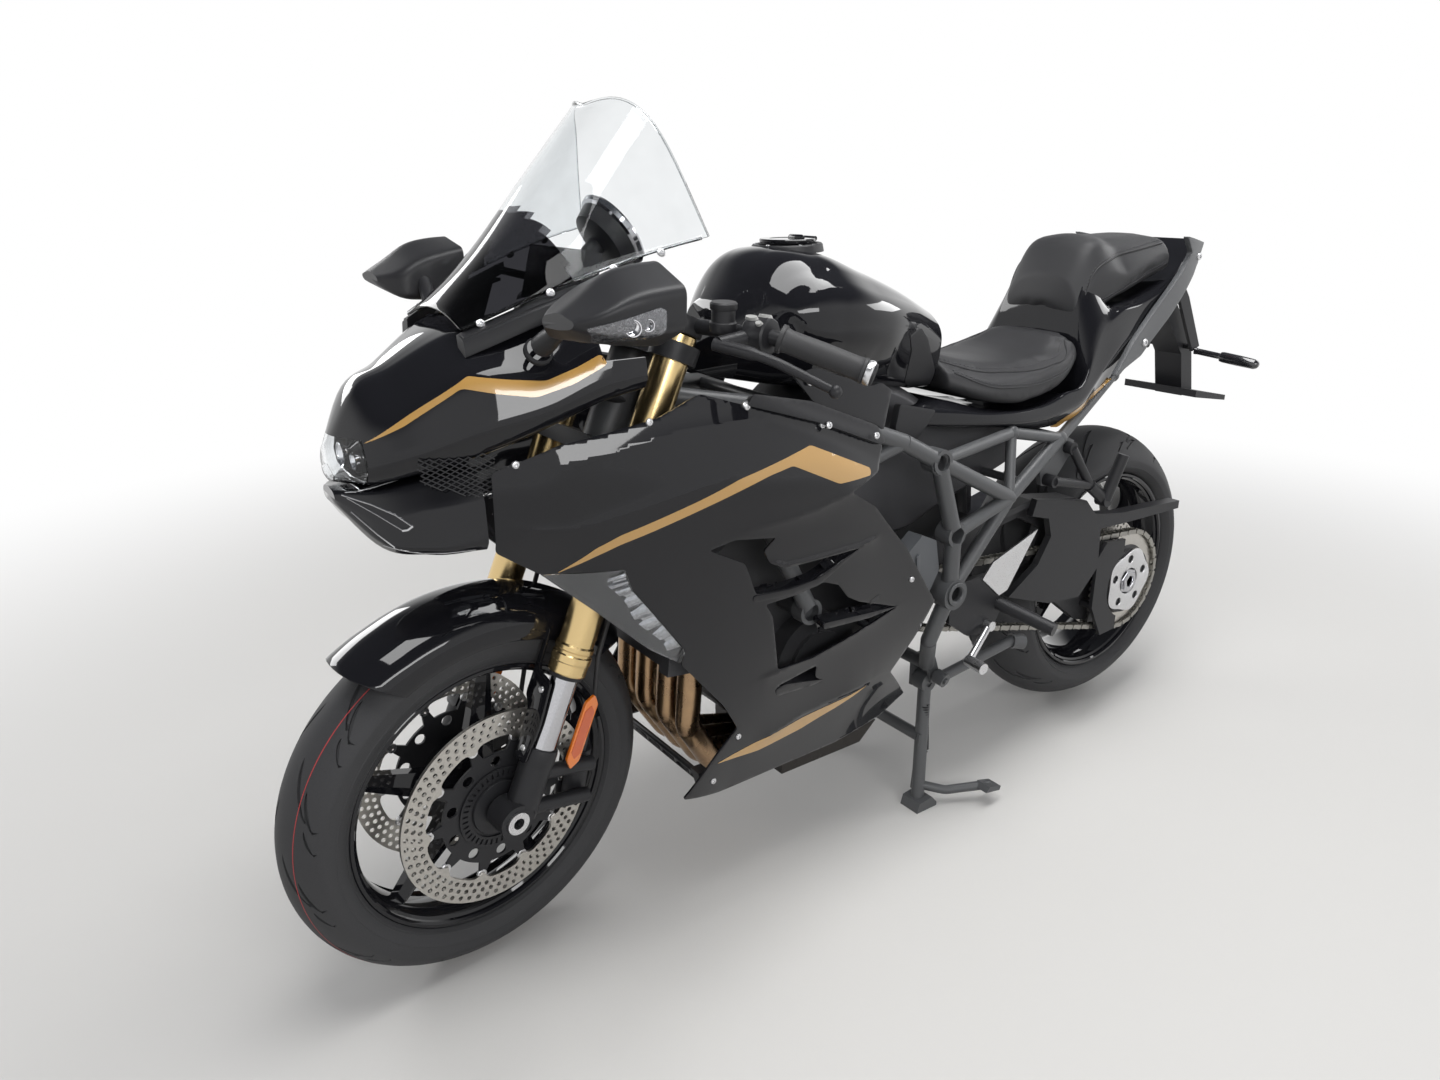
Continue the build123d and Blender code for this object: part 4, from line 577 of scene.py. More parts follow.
def tread_half(reach, pitch):
    """One pitch of half a tread, flat: points (across, along, depth) and triangles."""
    rows = 10
    edge_steps = 16
    loop = [(0, pitch * k / edge_steps) for k in range(edge_steps)]
    loop += [(reach * k / rows, pitch) for k in range(rows)]
    loop += [(reach, pitch - pitch * k / edge_steps) for k in range(edge_steps)]
    loop += [(reach - reach * k / rows, 0) for k in range(rows)]
    spots = list(loop)
    edges = [(i, (i + 1) % len(loop)) for i in range(len(loop))]
    outers, inners = [], []
    for shape in GROOVES:
        for shrink, kept in ((0, outers), (0.45, inners)):
            ring = groove(*shape, reach, pitch, shrink)
            base = len(spots)
            spots += ring
            edges += [(base + i, base + (i + 1) % len(ring)) for i in range(len(ring))]
            kept.append(ring)
    for i in range(1, rows):
        for k in range(1, edge_steps):
            spot = (reach * i / rows, pitch * k / edge_steps)
            near = min((math.hypot(spot[0] - p[0], spot[1] - p[1]) for ring in outers for p in ring))
            if near > 3.5:
                spots.append(spot)
    points, _, triangles, _, _, _ = delaunay_2d_cdt([Vector(s) for s in spots], edges, [], 0, 1e-5)
    sunk = [any(inside(p, ring) or min(math.hypot(p.x - q[0], p.y - q[1]) for q in ring) < 0.02
                for ring in inners) for p in points]
    return [(p.x, p.y, GROOVE_DEEP if low else 0) for p, low in zip(points, sunk)], triangles


def tyre(radius, half, rim, centre, pitches):
    """Whole tyre: tread halves half a pitch apart, and both walls down to the rim."""
    drop = half * 0.62
    arc = (half * half + drop * drop) / (2 * drop)
    reach = arc * math.asin(half / arc)
    pitch = 2 * math.pi * radius / pitches
    flat, triangles = tread_half(reach, pitch)
    verts, faces = [], []
    for side in (1, -1):
        for turn in range(pitches):
            base = len(verts)
            for across, along, deep in flat:
                lean = across / arc
                x = (arc - deep) * math.sin(lean) * side
                r = radius - arc + (arc - deep) * math.cos(lean)
                a = (along + (turn + (0.5 if side < 0 else 0)) * pitch) / radius
                verts.append(on_wheel(centre, x, r, a))
            faces += [tuple(base + i for i in tri) for tri in triangles]
        shoulder = radius - drop
        wall = [(half, shoulder), (half * 1.005, shoulder - 3), (half * 1.0, shoulder - 8)]
        span = shoulder - 8 - rim
        for share, out in ((0.30, 0.985), (0.33, 0.995), (0.40, 0.985), (0.62, 0.93), (0.80, 0.87),
                           (0.83, 0.885), (0.87, 0.875), (0.93, 0.83), (1.0, 0.78)):
            wall.append((half * out, shoulder - 8 - span * share))
        wall.append((half * 0.5, rim))
        wall.append((0, rim))
        count = pitches * 16
        base = len(verts)
        for x, r in wall:
            for k in range(count):
                a = (2 * math.pi * k) / count + (0.5 * pitch / radius if side < 0 else 0)
                verts.append(on_wheel(centre, x * side, r, a))
        faces += [tuple(base + i for i in face) for face in quads(len(wall) - 1, count)]
    return verts, faces


piece("rear_tyre_tread", *tyre(320, 95, 229, REAR_WHEEL, 12), rubber, "rear_wheel", "tyre_rubber", 28,
      ["rear_tyre"])


# The wheels are cast alloy in gloss black, five ridged spokes each; the rear one hangs on the
# arm by one big hub, with the sprocket outside it behind a silver scalloped ring.

paint = finish_of("gloss_black", (0.011, 0.011, 0.013), (0.006, 0.006, 0.008), 0.03, 0.07, 900, coat=0.8,
                  Specular_IOR_Level=0.12, Coat_IOR=1.4)


def rim_barrel(rim, half, well):
    """Section of a rim, from the left edge round to itself: (across, radius)."""
    return [(half, rim - 2), (half, rim - 7), (half - 3, rim - 10), (half - 7, rim - 11),
            (half - 10, rim - 15), (half * 0.62, well + 8), (half * 0.5, well + 1), (half * 0.3, well - 3),
            (-half * 0.3, well - 3), (-half * 0.5, well + 1), (-half * 0.62, well + 8),
            (10 - half, rim - 15), (7 - half, rim - 11), (3 - half, rim - 10), (-half, rim - 7),
            (-half, rim - 2), (1.5 - half, rim), (half - 1.5, rim)]


def spoke(angle, centre, hub, well, root, tip, deep, aside=0):
    """One ridged spoke: six-sided, wide at the hub and narrow at the rim."""
    verts = []
    steps = 6
    for k in range(steps + 1):
        t = k / steps
        r = hub + (well - hub) * t
        wide = root + (tip - root) * t ** 0.7
        thick = deep * (1 - 0.25 * t)
        for across, out in ((-wide, -thick * 0.45), (-wide, thick * 0.45), (0, thick), (wide, thick * 0.45),
                            (wide, -thick * 0.45), (0, -thick)):
            y = across * math.cos(angle) + r * math.sin(angle)
            z = -across * math.sin(angle) + r * math.cos(angle)
            verts.append(((centre.x + aside + out) / 1000, (centre.y + y) / 1000, (centre.z + z) / 1000))
    return verts, quads(steps, 6) + [tuple(range(5, -1, -1)), tuple(range(steps * 6, steps * 6 + 6))]


def road_wheel(centre, rim, half, well, hub, root, tip, deep, start, aside=0):
    parts = [lathe(rim_barrel(rim, half, well), centre, (1, 0, 0), 120, closed=True)]
    parts += [spoke(math.radians(start + 72 * k), centre, hub - 6, well + 3, root, tip, deep, aside)
              for k in range(5)]
    return together(parts)


rear_mesh = road_wheel(REAR_WHEEL, 229, 82, 206, 58, 34, 18, 17, 0, -19)
REAR_HUB = [(-74, 14), (-74, 28), (-72, 30), (-62, 30), (-60, 52), (-56, 57), (-40, 58), (4, 58), (60, 56),
            (76, 50), (79, 46), (79, 22), (149, 22), (149, 14)]
rear_mesh = together([rear_mesh, lathe(REAR_HUB, REAR_WHEEL, (1, 0, 0), 72, closed=True)])
piece("rear_wheel_cast", *rear_mesh, paint, "rear_wheel", "gloss_black", 30, ["rear_wheel"])

alloy = finish_of("silver_alloy", (0.74, 0.74, 0.75), (0.60, 0.60, 0.61), 0.22, 0.36, 500, metal=1.0)
chrome = finish_of("chrome_steel", (0.56, 0.56, 0.58), (0.46, 0.46, 0.48), 0.06, 0.14, 300, metal=1.0)
ground = finish_of("disc_steel", (0.60, 0.58, 0.54), (0.44, 0.42, 0.39), 0.24, 0.40, 300, metal=1.0)


def scalloped(centre, low, high, lobes, per=10):
    """Closed wavy outline between two radii."""
    made = []
    for k in range(lobes * per):
        a = 2 * math.pi * k / (lobes * per)
        r = (low + high) / 2 + (high - low) / 2 * math.cos(lobes * a)
        made.append((centre.y + r * math.cos(a), centre.z + r * math.sin(a)))
    return made


petals = [circle(REAR_WHEEL.y + 52 * math.cos(math.radians(72 * k + 20)),
                 REAR_WHEEL.z + 52 * math.sin(math.radians(72 * k + 20)), 9, 20) for k in range(5)]
ring = plate([scalloped(REAR_WHEEL, 67, 76, 5, 16), circle(REAR_WHEEL.y, REAR_WHEEL.z, 30, 48)] + petals,
             150, 154)
hub_ring = piece("hub_ring", *ring, alloy, "rear_wheel", "silver_alloy", 30)
eased(hub_ring, 0.0012)
NUT = [(150, 12), (150, 30), (153, 30), (153, 24), (158, 23), (158, 14), (152, 12)]
piece("hub_nut", *lathe(NUT, REAR_WHEEL, (1, 0, 0), 6, closed=True), chrome,
      "rear_wheel", "chrome_steel", 20)


# Rear brake: one drilled steel ring on a black carrier, with its caliper below the axle.

def ring_sector(outer, inner, tabs, tab_r, rows, per_tab, hole_r):
    """Loops of a drilled brake ring about the origin: its wavy inner edge and its holes."""
    count = tabs * 12
    rim = circle(0, 0, outer, 120)
    well = []
    for k in range(count):
        a = 2 * math.pi * k / count
        near = abs(((k + 6) % 12) - 6) / 6
        dip = max(0.0, 1 - near * 2.6)
        well.append(((inner - (inner - tab_r) * dip) * math.cos(a),
                     (inner - (inner - tab_r) * dip) * math.sin(a)))
    holes = [circle(y, z, hole_r, 8) for row, r in enumerate(rows)
             for y, z in circle(0, 0, r, tabs * per_tab, row * 0.36)]
    return [rim, well] + holes


def ring_plate(loops, x_low, x_high):
    """Drilled ring as a plate: holes are tested by angle, because there are many."""
    outer = math.hypot(*loops[0][0])
    holes = [(sum(p[0] for p in loop) / len(loop),
              sum(p[1] for p in loop) / len(loop)) for loop in loops[2:]]
    hole_r = math.hypot(loops[2][0][0] - holes[0][0], loops[2][0][1] - holes[0][1])

    def wanted(c):
        drilled = any(abs(c.x - h[0]) < hole_r and abs(c.y - h[1]) < hole_r
                      and math.hypot(c.x - h[0], c.y - h[1]) < hole_r * 0.93 for h in holes)
        return c.length <= outer and not inside(c, loops[1]) and not drilled

    return thickened(*filled(*outlined(loops), wanted), x_low, x_high)


def moved(made, centre):
    """The same vertices, set about another centre in mm."""
    verts, faces = made
    shift = Vector(centre) / 1000
    return [tuple(Vector(v) + shift) for v in verts], faces


rotor = moved(ring_plate(ring_sector(125, 92, 8, 84, (119, 109, 99), 6, 3.4), 81.5, 86.5), REAR_WHEEL)
piece("rear_rotor", *rotor, ground, "rear_wheel", "disc_steel", 30, ["rear_disc"])
carrier = lathe([(79.5, 22.2), (79.5, 60), (80.5, 86), (84.5, 86), (84.5, 60), (86, 40), (86, 22.2)],
                REAR_WHEEL, (1, 0, 0), 64, closed=True)
piece("rear_carrier", *carrier, satin, "rear_wheel", "satin_black", 30)
dress("rear_caliper", satin)


# The final drive is a steel roller chain on two sprockets; the rear one is bolted to the hub.

chain_metal = finish_of("chain_steel", (0.40, 0.39, 0.36), (0.24, 0.23, 0.21), 0.28, 0.46, 600, metal=1.0)
LINK = 15.875


def repeater(name):
    """Tree that sets a shape on points, turned by their stored turn, and gives it its finish."""
    tree = bpy.data.node_groups.new(name, "GeometryNodeTree")
    for label, way, kind in (("Points", "INPUT", "Geometry"), ("Shape", "INPUT", "Object"),
                             ("Size", "INPUT", "Float"), ("Finish", "INPUT", "Material"),
                             ("Made", "OUTPUT", "Geometry")):
        tree.interface.new_socket(label, in_out=way, socket_type="NodeSocket" + kind)
    made = tree.nodes
    entry, leave = made.new("NodeGroupInput"), made.new("NodeGroupOutput")
    shape = made.new("GeometryNodeObjectInfo")
    turn = made.new("GeometryNodeInputNamedAttribute")
    turn.data_type = "QUATERNION"
    turn.inputs["Name"].default_value = "turn"
    stamp = made.new("GeometryNodeInstanceOnPoints")
    real = made.new("GeometryNodeRealizeInstances")
    coat = made.new("GeometryNodeSetMaterial")
    linked(tree.links, (entry.outputs["Points"], stamp.inputs["Points"]),
           (entry.outputs["Shape"], shape.inputs["Object"]),
           (shape.outputs["Geometry"], stamp.inputs["Instance"]),
           (turn.outputs["Attribute"], stamp.inputs["Rotation"]),
           (entry.outputs["Size"], stamp.inputs["Scale"]),
           (stamp.outputs["Instances"], real.inputs["Geometry"]),
           (real.outputs["Geometry"], coat.inputs["Geometry"]),
           (entry.outputs["Finish"], coat.inputs["Material"]),
           (coat.outputs["Geometry"], leave.inputs["Made"]))
    return tree


on_points = repeater("repeat_on_points")


def repeated(name, shape, places, finish, body, slot, stands_for=(), size=1.0, angle=35):
    """Copies of a shape (vertices, faces) at places (spot in mm, quaternion), as one plain piece."""
    stamp = placed(name + "_shape", meshed(name + "_shape", *shape))
    cloud = bpy.data.meshes.new(name)
    cloud.from_pydata([tuple(Vector(spot) / 1000) for spot, _ in places], [], [])
    turns = cloud.attributes.new("turn", "QUATERNION", "POINT")
    for k, (_, turn) in enumerate(places):
        turns.data[k].value = tuple(turn)
    made = placed(name, cloud)
    spread = made.modifiers.new("repeat", "NODES")
    spread.node_group = on_points
    wanted = {"Shape": stamp, "Size": size, "Finish": finish}
    for item in on_points.interface.items_tree:
        if item.name in wanted and item.in_out == "INPUT":
            spread[item.identifier] = wanted[item.name]
    finished(made, angle)
    bpy.data.objects.remove(stamp)
    return declared(made, body, slot, stands_for)


def chain_path(count):
    """Pin places and directions of a chain of this many links round both sprockets."""
    front, rear = Vector((-22, 455)), Vector((REAR_WHEEL.y, REAR_WHEEL.z))
    r1, r2 = 48, 111
    run = rear - front
    tilt = math.atan2(run.y, run.x)
    spread = math.acos((r1 - r2) / run.length)
    at = lambda c, r, a: c + Vector((r * math.cos(a), r * math.sin(a)))
    top, low = tilt + spread, tilt - spread
    track = [at(front, r1, top)]
    track += [at(rear, r2, top - (top - low) * k / 60) for k in range(61)]
    turn_round = 2 * math.pi - (top - low)
    track += [at(front, r1, low - turn_round * k / 40) for k in range(41)]
    lengths = [0.0]
    for a, b in zip(track, track[1:]):
        lengths.append(lengths[-1] + (b - a).length)
    spots = []
    for k in range(count):
        want = lengths[-1] * k / count
        i = max(n for n in range(len(lengths)) if lengths[n] <= want)
        i = min(i, len(track) - 2)
        share = (want - lengths[i]) / max(lengths[i + 1] - lengths[i], 1e-6)
        spots.append(track[i] + (track[i + 1] - track[i]) * share)
    return spots, lengths[-1]


_, around = chain_path(10)
links = 2 * round(around / LINK / 2)
pins, around = chain_path(links)


def link_plates(out):
    """Two waisted side plates of one link along +Y, with the roller at its near end."""
    shape = []
    for k in range(12):
        a = 2 * math.pi * k / 12
        y = (LINK / 2 + 6.6 * math.cos(a)) if math.cos(a) > 0 else (-LINK / 2 + 6.6 * math.cos(a))
        z = 6.6 * math.sin(a) * (0.62 if abs(math.cos(a)) < 0.3 else 1)
        shape.append((y, z))
    parts = [plate([shape], side * out - 0.9, side * out + 0.9) for side in (1, -1)]
    parts.append(lathe([(-out, 0.01), (-out, 4.6), (out, 4.6), (out, 0.01)], (0, -LINK / 2, 0), (1, 0, 0),
                       8))
    return together(parts)


for parity, out in ((0, 6.2), (1, 8.4)):
    places = []
    for k in range(parity, links, 2):
        a, b = pins[k], pins[(k + 1) % links]
        aim = b - a
        mid = (a + b) / 2
        turn = Matrix.Rotation(math.atan2(aim.y, aim.x), 4, "X").to_quaternion()
        places.append(((135, mid.x, mid.y), turn))
    repeated(f"chain_links_{parity}", link_plates(out), places, chain_metal, "root", "chain_steel",
             ["chain"] if parity else ())


def toothed(radius, teeth, deep):
    made = []
    for k in range(teeth * 6):
        a = 2 * math.pi * k / (teeth * 6)
        share = abs(((k % 6) - 3) / 3)
        made.append((radius - deep * (1 - share) ** 1.3, a))
    return [(r * math.cos(a), r * math.sin(a)) for r, a in made]


sprocket = moved(plate([toothed(113, 44, 8), circle(0, 0, 74, 64)], 132.5, 137.5), REAR_WHEEL)
piece("rear_sprocket_ring", *sprocket, ground, "rear_wheel", "disc_steel", 25, ["rear_sprocket"])
boss = lathe([(132, 22), (132, 78), (138, 80), (142, 76), (149.5, 74), (149.8, 30), (149.8, 22)],
             REAR_WHEEL, (1, 0, 0), 64, closed=True)
piece("sprocket_boss", *boss, satin, "rear_wheel", "satin_black", 30)


# Front wheel: the same black casting, turned with the steering, with two drilled steel rings on
# black carriers; silver bobbins hold each ring.

front_tread = steered(tyre(300, 60, 221, FRONT_WHEEL, 13))
piece("front_tyre_tread", *front_tread, rubber, "front_wheel", "tyre_rubber", 28, ["front_tyre"])

red_line = finish_of("red_line", (0.50, 0.05, 0.05), (0.30, 0.035, 0.04), 0.5, 0.7, 300)
CROWN_ARC, LINE_ARC = 66.99, 67.15
LINE_LEAN = (32.2 / 67, 33.6 / 67)
verts, faces = [], []
for k in range(208):
    a = 2 * math.pi * k / 208
    for lean in LINE_LEAN:
        r = 300 - CROWN_ARC + LINE_ARC * math.cos(lean)
        verts.append(on_wheel(FRONT_WHEEL, LINE_ARC * math.sin(lean), r, a))
    faces.append((2 * k, 2 * k + 1, (2 * k + 3) % 416, (2 * k + 2) % 416))
piece("tyre_line", *steered((verts, faces)), red_line, "front_wheel", "tyre_rubber", 40)

front_mesh = road_wheel(FRONT_WHEEL, 221, 47, 205, 42, 30, 11, 21, 8)
FRONT_HUB = [(-62, 14), (-62, 30), (-59, 34), (-30, 38), (-20, 42), (20, 42), (30, 38), (59, 34), (62, 30),
             (62, 14)]
front_mesh = together([front_mesh, lathe(FRONT_HUB, FRONT_WHEEL, (1, 0, 0), 64, closed=True)])
piece("front_wheel_cast", *steered(front_mesh), paint, "front_wheel", "gloss_black", 30, ["front_wheel"])

rotor = ring_plate(ring_sector(160, 122, 10, 112, (152, 141, 130), 6, 3.9), 72.5, 77.5)
rotors = both_sides(moved(rotor, FRONT_WHEEL))
piece("front_rotors", *steered(rotors), ground, "front_wheel", "disc_steel", 30, ["front_discs"])

# Carrier: ten arms out to the bobbins, round holes, and a toothed sensor ring inside.
arms = []
for k in range(120):
    a = 2 * math.pi * k / 120
    near = abs(((k + 6) % 12) - 6) / 6
    r = 112 if near < 0.25 else 94
    arms.append((r * math.cos(a), r * math.sin(a)))
openings = [circle(y, z, 9, 14) for y, z in circle(0, 0, 80, 10, 0.5)]
carrier = plate([arms, circle(0, 0, 24, 40)] + openings, 71, 75)
slots = []
for k in range(40):
    a = 2 * math.pi * k / 40
    ca, sa = math.cos(a), math.sin(a)
    slots.append([(54 * ca - 1.6 * -sa, 54 * sa - 1.6 * ca), (63 * ca - 1.9 * -sa, 63 * sa - 1.9 * ca),
                  (63 * ca + 1.9 * -sa, 63 * sa + 1.9 * ca), (54 * ca + 1.6 * -sa, 54 * sa + 1.6 * ca)])
sensor = plate([circle(0, 0, 67, 72), circle(0, 0, 50, 60)] + slots, 76.5, 78)
hub_cap = lathe([(62, 14), (62, 44), (74, 46), (79, 44), (80, 36), (80, 14)], (0, 0, 0), (1, 0, 0), 56,
                closed=True)
carriers = both_sides(moved(together([carrier, sensor, hub_cap]), FRONT_WHEEL))
piece("front_carriers", *steered(carriers), satin, "front_wheel", "satin_black", 30)

BOBBIN = [(70.5, 2.6), (70.5, 7.2), (71.5, 8.2), (74.4, 8.2), (75.4, 7.2), (75.4, 4.4), (74.8, 3.0),
          (74.2, 2.6)]
HUB_BOLT = [(74.9, 0.01), (74.9, 5), (76.0, 5), (76.6, 3.8), (76.6, 0.01)]
bobbins = [lathe(BOBBIN, (0, y, z), (1, 0, 0), 14, closed=True) for y, z in circle(0, 0, 115, 10)]
bobbins += [lathe(HUB_BOLT, (0, y, z), (1, 0, 0), 10) for y, z in circle(0, 0, 36, 5)]
piece("disc_bobbins", *steered(both_sides(moved(together(bobbins), FRONT_WHEEL))), alloy, "front_wheel",
      "silver_alloy", 35)


# The fork legs have gold anodised outer tubes, chromed sliding tubes and black cast feet, held
# by two clamps. The hollow axle is clamped through the feet.

def fork_point(side, height, ahead=0.0, out=0.0):
    """A point on a fork leg: height up the leg, ahead of it and out from it, in mm."""
    base = FRONT_WHEEL - FORWARD * 16
    spot = base + STEER_DIR * height + FORWARD * ahead
    return Vector((side * (106 + out), spot.y, spot.z))


def on_forks(profile, count=40, closed=False):
    """A turned part, (height, radius), on both fork legs, at the parked angle."""
    return steered(together([lathe(profile, fork_point(side, 0), STEER_DIR, count,
                                   closed) for side in (1, -1)]))


anodised = finish_of("fork_gold", (0.72, 0.54, 0.27), (0.66, 0.49, 0.24), 0.20, 0.28, 900, metal=1.0)
# (height up the leg, radius): the gold tube's turned foot, bands and plain barrel
TUBE = [(232, 22), (232, 27.5), (234, 29), (250, 29), (252, 30.2), (262, 30.2), (264, 28.2), (268, 28.2),
        (270, 29.4), (276, 29.4), (279, 27), (300, 27), (754, 27), (756, 25.5), (756, 12)]
SLIDER = [(53, 21.5), (230, 21.5), (292, 21.5)]
SEAL = [(226, 21.6), (226, 25.5), (232, 26.5), (232, 21.6)]
CAP = [(756, 25), (760, 24), (762, 18), (770, 17), (772, 15), (772, 0.01)]
FOOT = [(20, 25), (86, 25), (92, 26.5), (108, 26.5), (113, 25.5), (114, 22)]
piece("fork_tubes_turned", *on_forks(TUBE, 48), anodised, "steering", "fork_gold", 25, ["fork_tubes"])
piece("fork_sliders", *on_forks(SLIDER, 48), chrome, "steering", "chrome_steel", 25, ["stanchions"])
piece("fork_caps", *on_forks(CAP, 24), satin, "steering", "satin_black", 30)
piece("fork_seals", *on_forks(SEAL, closed=True), satin, "steering", "satin_black", 30)
dress("fork_lugs", satin)
dress("yokes", satin)
dress("front_axle", alloy)
piece("fork_feet", *on_forks(FOOT), satin, "steering", "satin_black", 30)


# Four-piston calipers, black cast with a bridge and ribs, behind each leg; rubber hoses run up
# to a joint under the lower clamp.

hose = finish_of("hose_rubber", (0.028, 0.028, 0.030), (0.016, 0.016, 0.017), 0.5, 0.65, 900, bump=0.0001)
dress("front_calipers", satin)
dress("brake_hoses", hose)


# The front fender is a gloss black half tunnel close over the tyre. Its side panels run down
# the legs' fronts and are screwed to the feet.

def walled(made, thick):
    """Gives a skin its wall, inwards."""
    wall = made.modifiers.new("wall", "SOLIDIFY")
    wall.thickness = thick
    wall.offset = -1


def slab(name, verts, faces, thick, material, body, slot, stands_for=(), bevel=0.0, inward=(-1, 0, 0)):
    """A sheet given a wall behind its face, with its rim rounded over."""
    mesh = bpy.data.meshes.new(name)
    mesh.from_pydata([tuple(v) for v in verts], [], faces)
    work = bmesh.new()
    work.from_mesh(mesh)
    loose = [v for v in work.verts if not v.link_faces]
    bmesh.ops.delete(work, geom=loose, context="VERTS")
    bmesh.ops.recalc_face_normals(work, faces=work.faces)
    facing = sum((f.normal * f.calc_area() for f in work.faces), Vector())
    if facing.dot(Vector(inward)) > 0:
        bmesh.ops.reverse_faces(work, faces=work.faces)
    work.to_mesh(mesh)
    work.free()
    made = settle(name, mesh, material, body, slot, 40, stands_for)
    walled(made, thick)
    if bevel:
        soft = made.modifiers.new("edge", "BEVEL")
        soft.width = bevel
        soft.segments = 2
        soft.limit_method = "ANGLE"
        soft.angle_limit = math.radians(50)
    return finished(made, 40)


# (across, radius) of the tunnel's skin from its left lip over the top to its right lip
FENDER_SKIN = [(72, 268), (72.5, 276), (71, 292), (68, 304), (60, 312), (48, 320), (38, 326), (28, 328.5),
               (14, 330.5), (0, 331)]
skin = FENDER_SKIN + [(-x, r) for x, r in reversed(FENDER_SKIN[:-1])]
verts = []
steps = 52
for k in range(steps + 1):
    share = k / steps
    for x, r in skin:
        side_cut = 1 - (r - 268) / 63
        low, high = -52 + 6 * side_cut, 35 - 7 * side_cut
        a = math.radians(low + (high - low) * share)
        lift = 4 * max(0.0, share - 0.86) / 0.14 * (1 - side_cut)
        verts.append(on_wheel(FRONT_WHEEL, x, r + lift, a))
fender_skin = steered((verts, quads(steps, len(skin), closed=False)))
slab("fender_skin", *fender_skin, 0.003, paint, "steering", "gloss_black", ["front_fender"], 0.0008,
     inward=(0, 0, -1))


AHEAD_FIRST, OUT_FIRST = (2, 0, 1), (2, 1, 0)


def by_leg(made, side, order):
    """Sets a plate by a leg; order says which of its x, y and z are height, ahead and out."""
    verts, faces = made
    return [tuple(fork_point(side, *(spot[i] * 1000 for i in order)) / 1000) for spot in verts], faces


# (out from the leg, height up it)
FENDER_PANEL = [(-38, 286), (-31, 286), (-28, 224), (8, 216), (14, 150), (10, 88), (-18, 88), (-24, 168),
                (-38, 180)]
panels = [by_leg(plate([softened(FENDER_PANEL, 8, 5)], 25.4, 29.4), side, AHEAD_FIRST) for side in (1, -1)]
fender_panels = piece("fender_panels", *steered(together(panels)), paint, "steering", "gloss_black", 30)
eased(fender_panels, 0.0014)

SCREW = lathe([(0, 5.2), (1.3, 5.3), (2.6, 4.6), (3.2, 3.2), (3.2, 2.1), (1.4, 1.9), (1.4, 0.01)],
              (0, 0, 0), (1, 0, 0), 12)


def facing(normal, parked=False):
    """The turn that points a shape's x axis along a direction."""
    turn = Vector((1, 0, 0)).rotation_difference(Vector(normal))
    return PARKED.to_quaternion() @ turn if parked else turn


places = []
for side in (1, -1):
    for out, height in ((-6, 200), (-4, 108)):
        spot = fork_point(side, height, 29.4, out)
        pivot = STEER_POINT
        places.append((pivot + PARKED @ (spot - pivot), facing(FORWARD, True)))
repeated("fender_screws", SCREW, places, alloy, "steering", "silver_alloy")


# Amber reflectors are moulded six-sided plates behind the legs, on bent wire stays.

amber = finish_of("amber_lens", (0.85, 0.22, 0.02), (0.68, 0.15, 0.01), 0.08, 0.16, 900, coat=1.0)
deep_amber = finish_of("amber_core", (0.62, 0.10, 0.008), (0.50, 0.07, 0.006), 0.06, 0.12, 900, coat=1.0)
REFLECTOR = [(-53, 84), (-65, 98), (-65, 192), (-53, 206), (-41, 192), (-41, 98)]
middle = Vector((-53, 145))
small = [tuple(middle + (Vector(p) - middle) * 0.72) for p in REFLECTOR]
lenses = [by_leg(plate([softened(REFLECTOR, 3, 3)], 14, 19.4), side, OUT_FIRST) for side in (1, -1)]
cores = [by_leg(plate([softened(small, 2, 3)], 19, 20.4), side, OUT_FIRST) for side in (1, -1)]
reflectors = piece("reflector_lenses", *steered(together(lenses)), amber, "steering", "amber_lens", 30,
                   ["reflectors"])
eased(reflectors, 0.001)
piece("reflector_cores", *steered(together(cores)), deep_amber, "steering", "amber_lens", 30)


# Each half bar is clamped on its fork tube. It carries a rubber grip with a turned end weight,
# a switch box, a black lever and a small fluid pot.

def bent(points, radius, steps=6):
    """Path through points with its corners rounded."""
    spots = [Vector(p) for p in points]
    made = [spots[0]]
    for a, b, c in zip(spots, spots[1:], spots[2:]):
        cut = min(radius, (a - b).length * 0.45, (c - b).length * 0.45)
        start, end = b + (a - b).normalized() * cut, b + (c - b).normalized() * cut
        made += [start * (1 - k / steps) ** 2 + b * 2 * k / steps * (1 - k / steps) + end * (k / steps) ** 2
                 for k in range(steps + 1)]
    return made + [spots[-1]]


def tube(path, radius, count=16):
    """Round bar along a path in mm; a radius may be given for each point."""
    path = [Vector(p) for p in path]
    radii = radius if isinstance(radius, (list, tuple)) else [radius] * len(path)
    verts = []
    aside = (path[1] - path[0]).orthogonal().normalized()
    for k, spot in enumerate(path):
        along = (path[min(k + 1, len(path) - 1)] - path[max(k - 1, 0)]).normalized()
        aside = (aside - along * aside.dot(along)).normalized()
        third = along.cross(aside)
        for i in range(count):
            a = 2 * math.pi * i / count
            verts.append(tuple((spot + (aside * math.cos(a) + third * math.sin(a)) * radii[k]) / 1000))
    last = (len(path) - 1) * count
    return verts, quads(len(path) - 1, count) + [tuple(range(count - 1, -1, -1)),
                                                 tuple(range(last, last + count))]


def straight(start, end, shares):
    return [Vector(start) + (Vector(end) - Vector(start)) * s for s in shares]


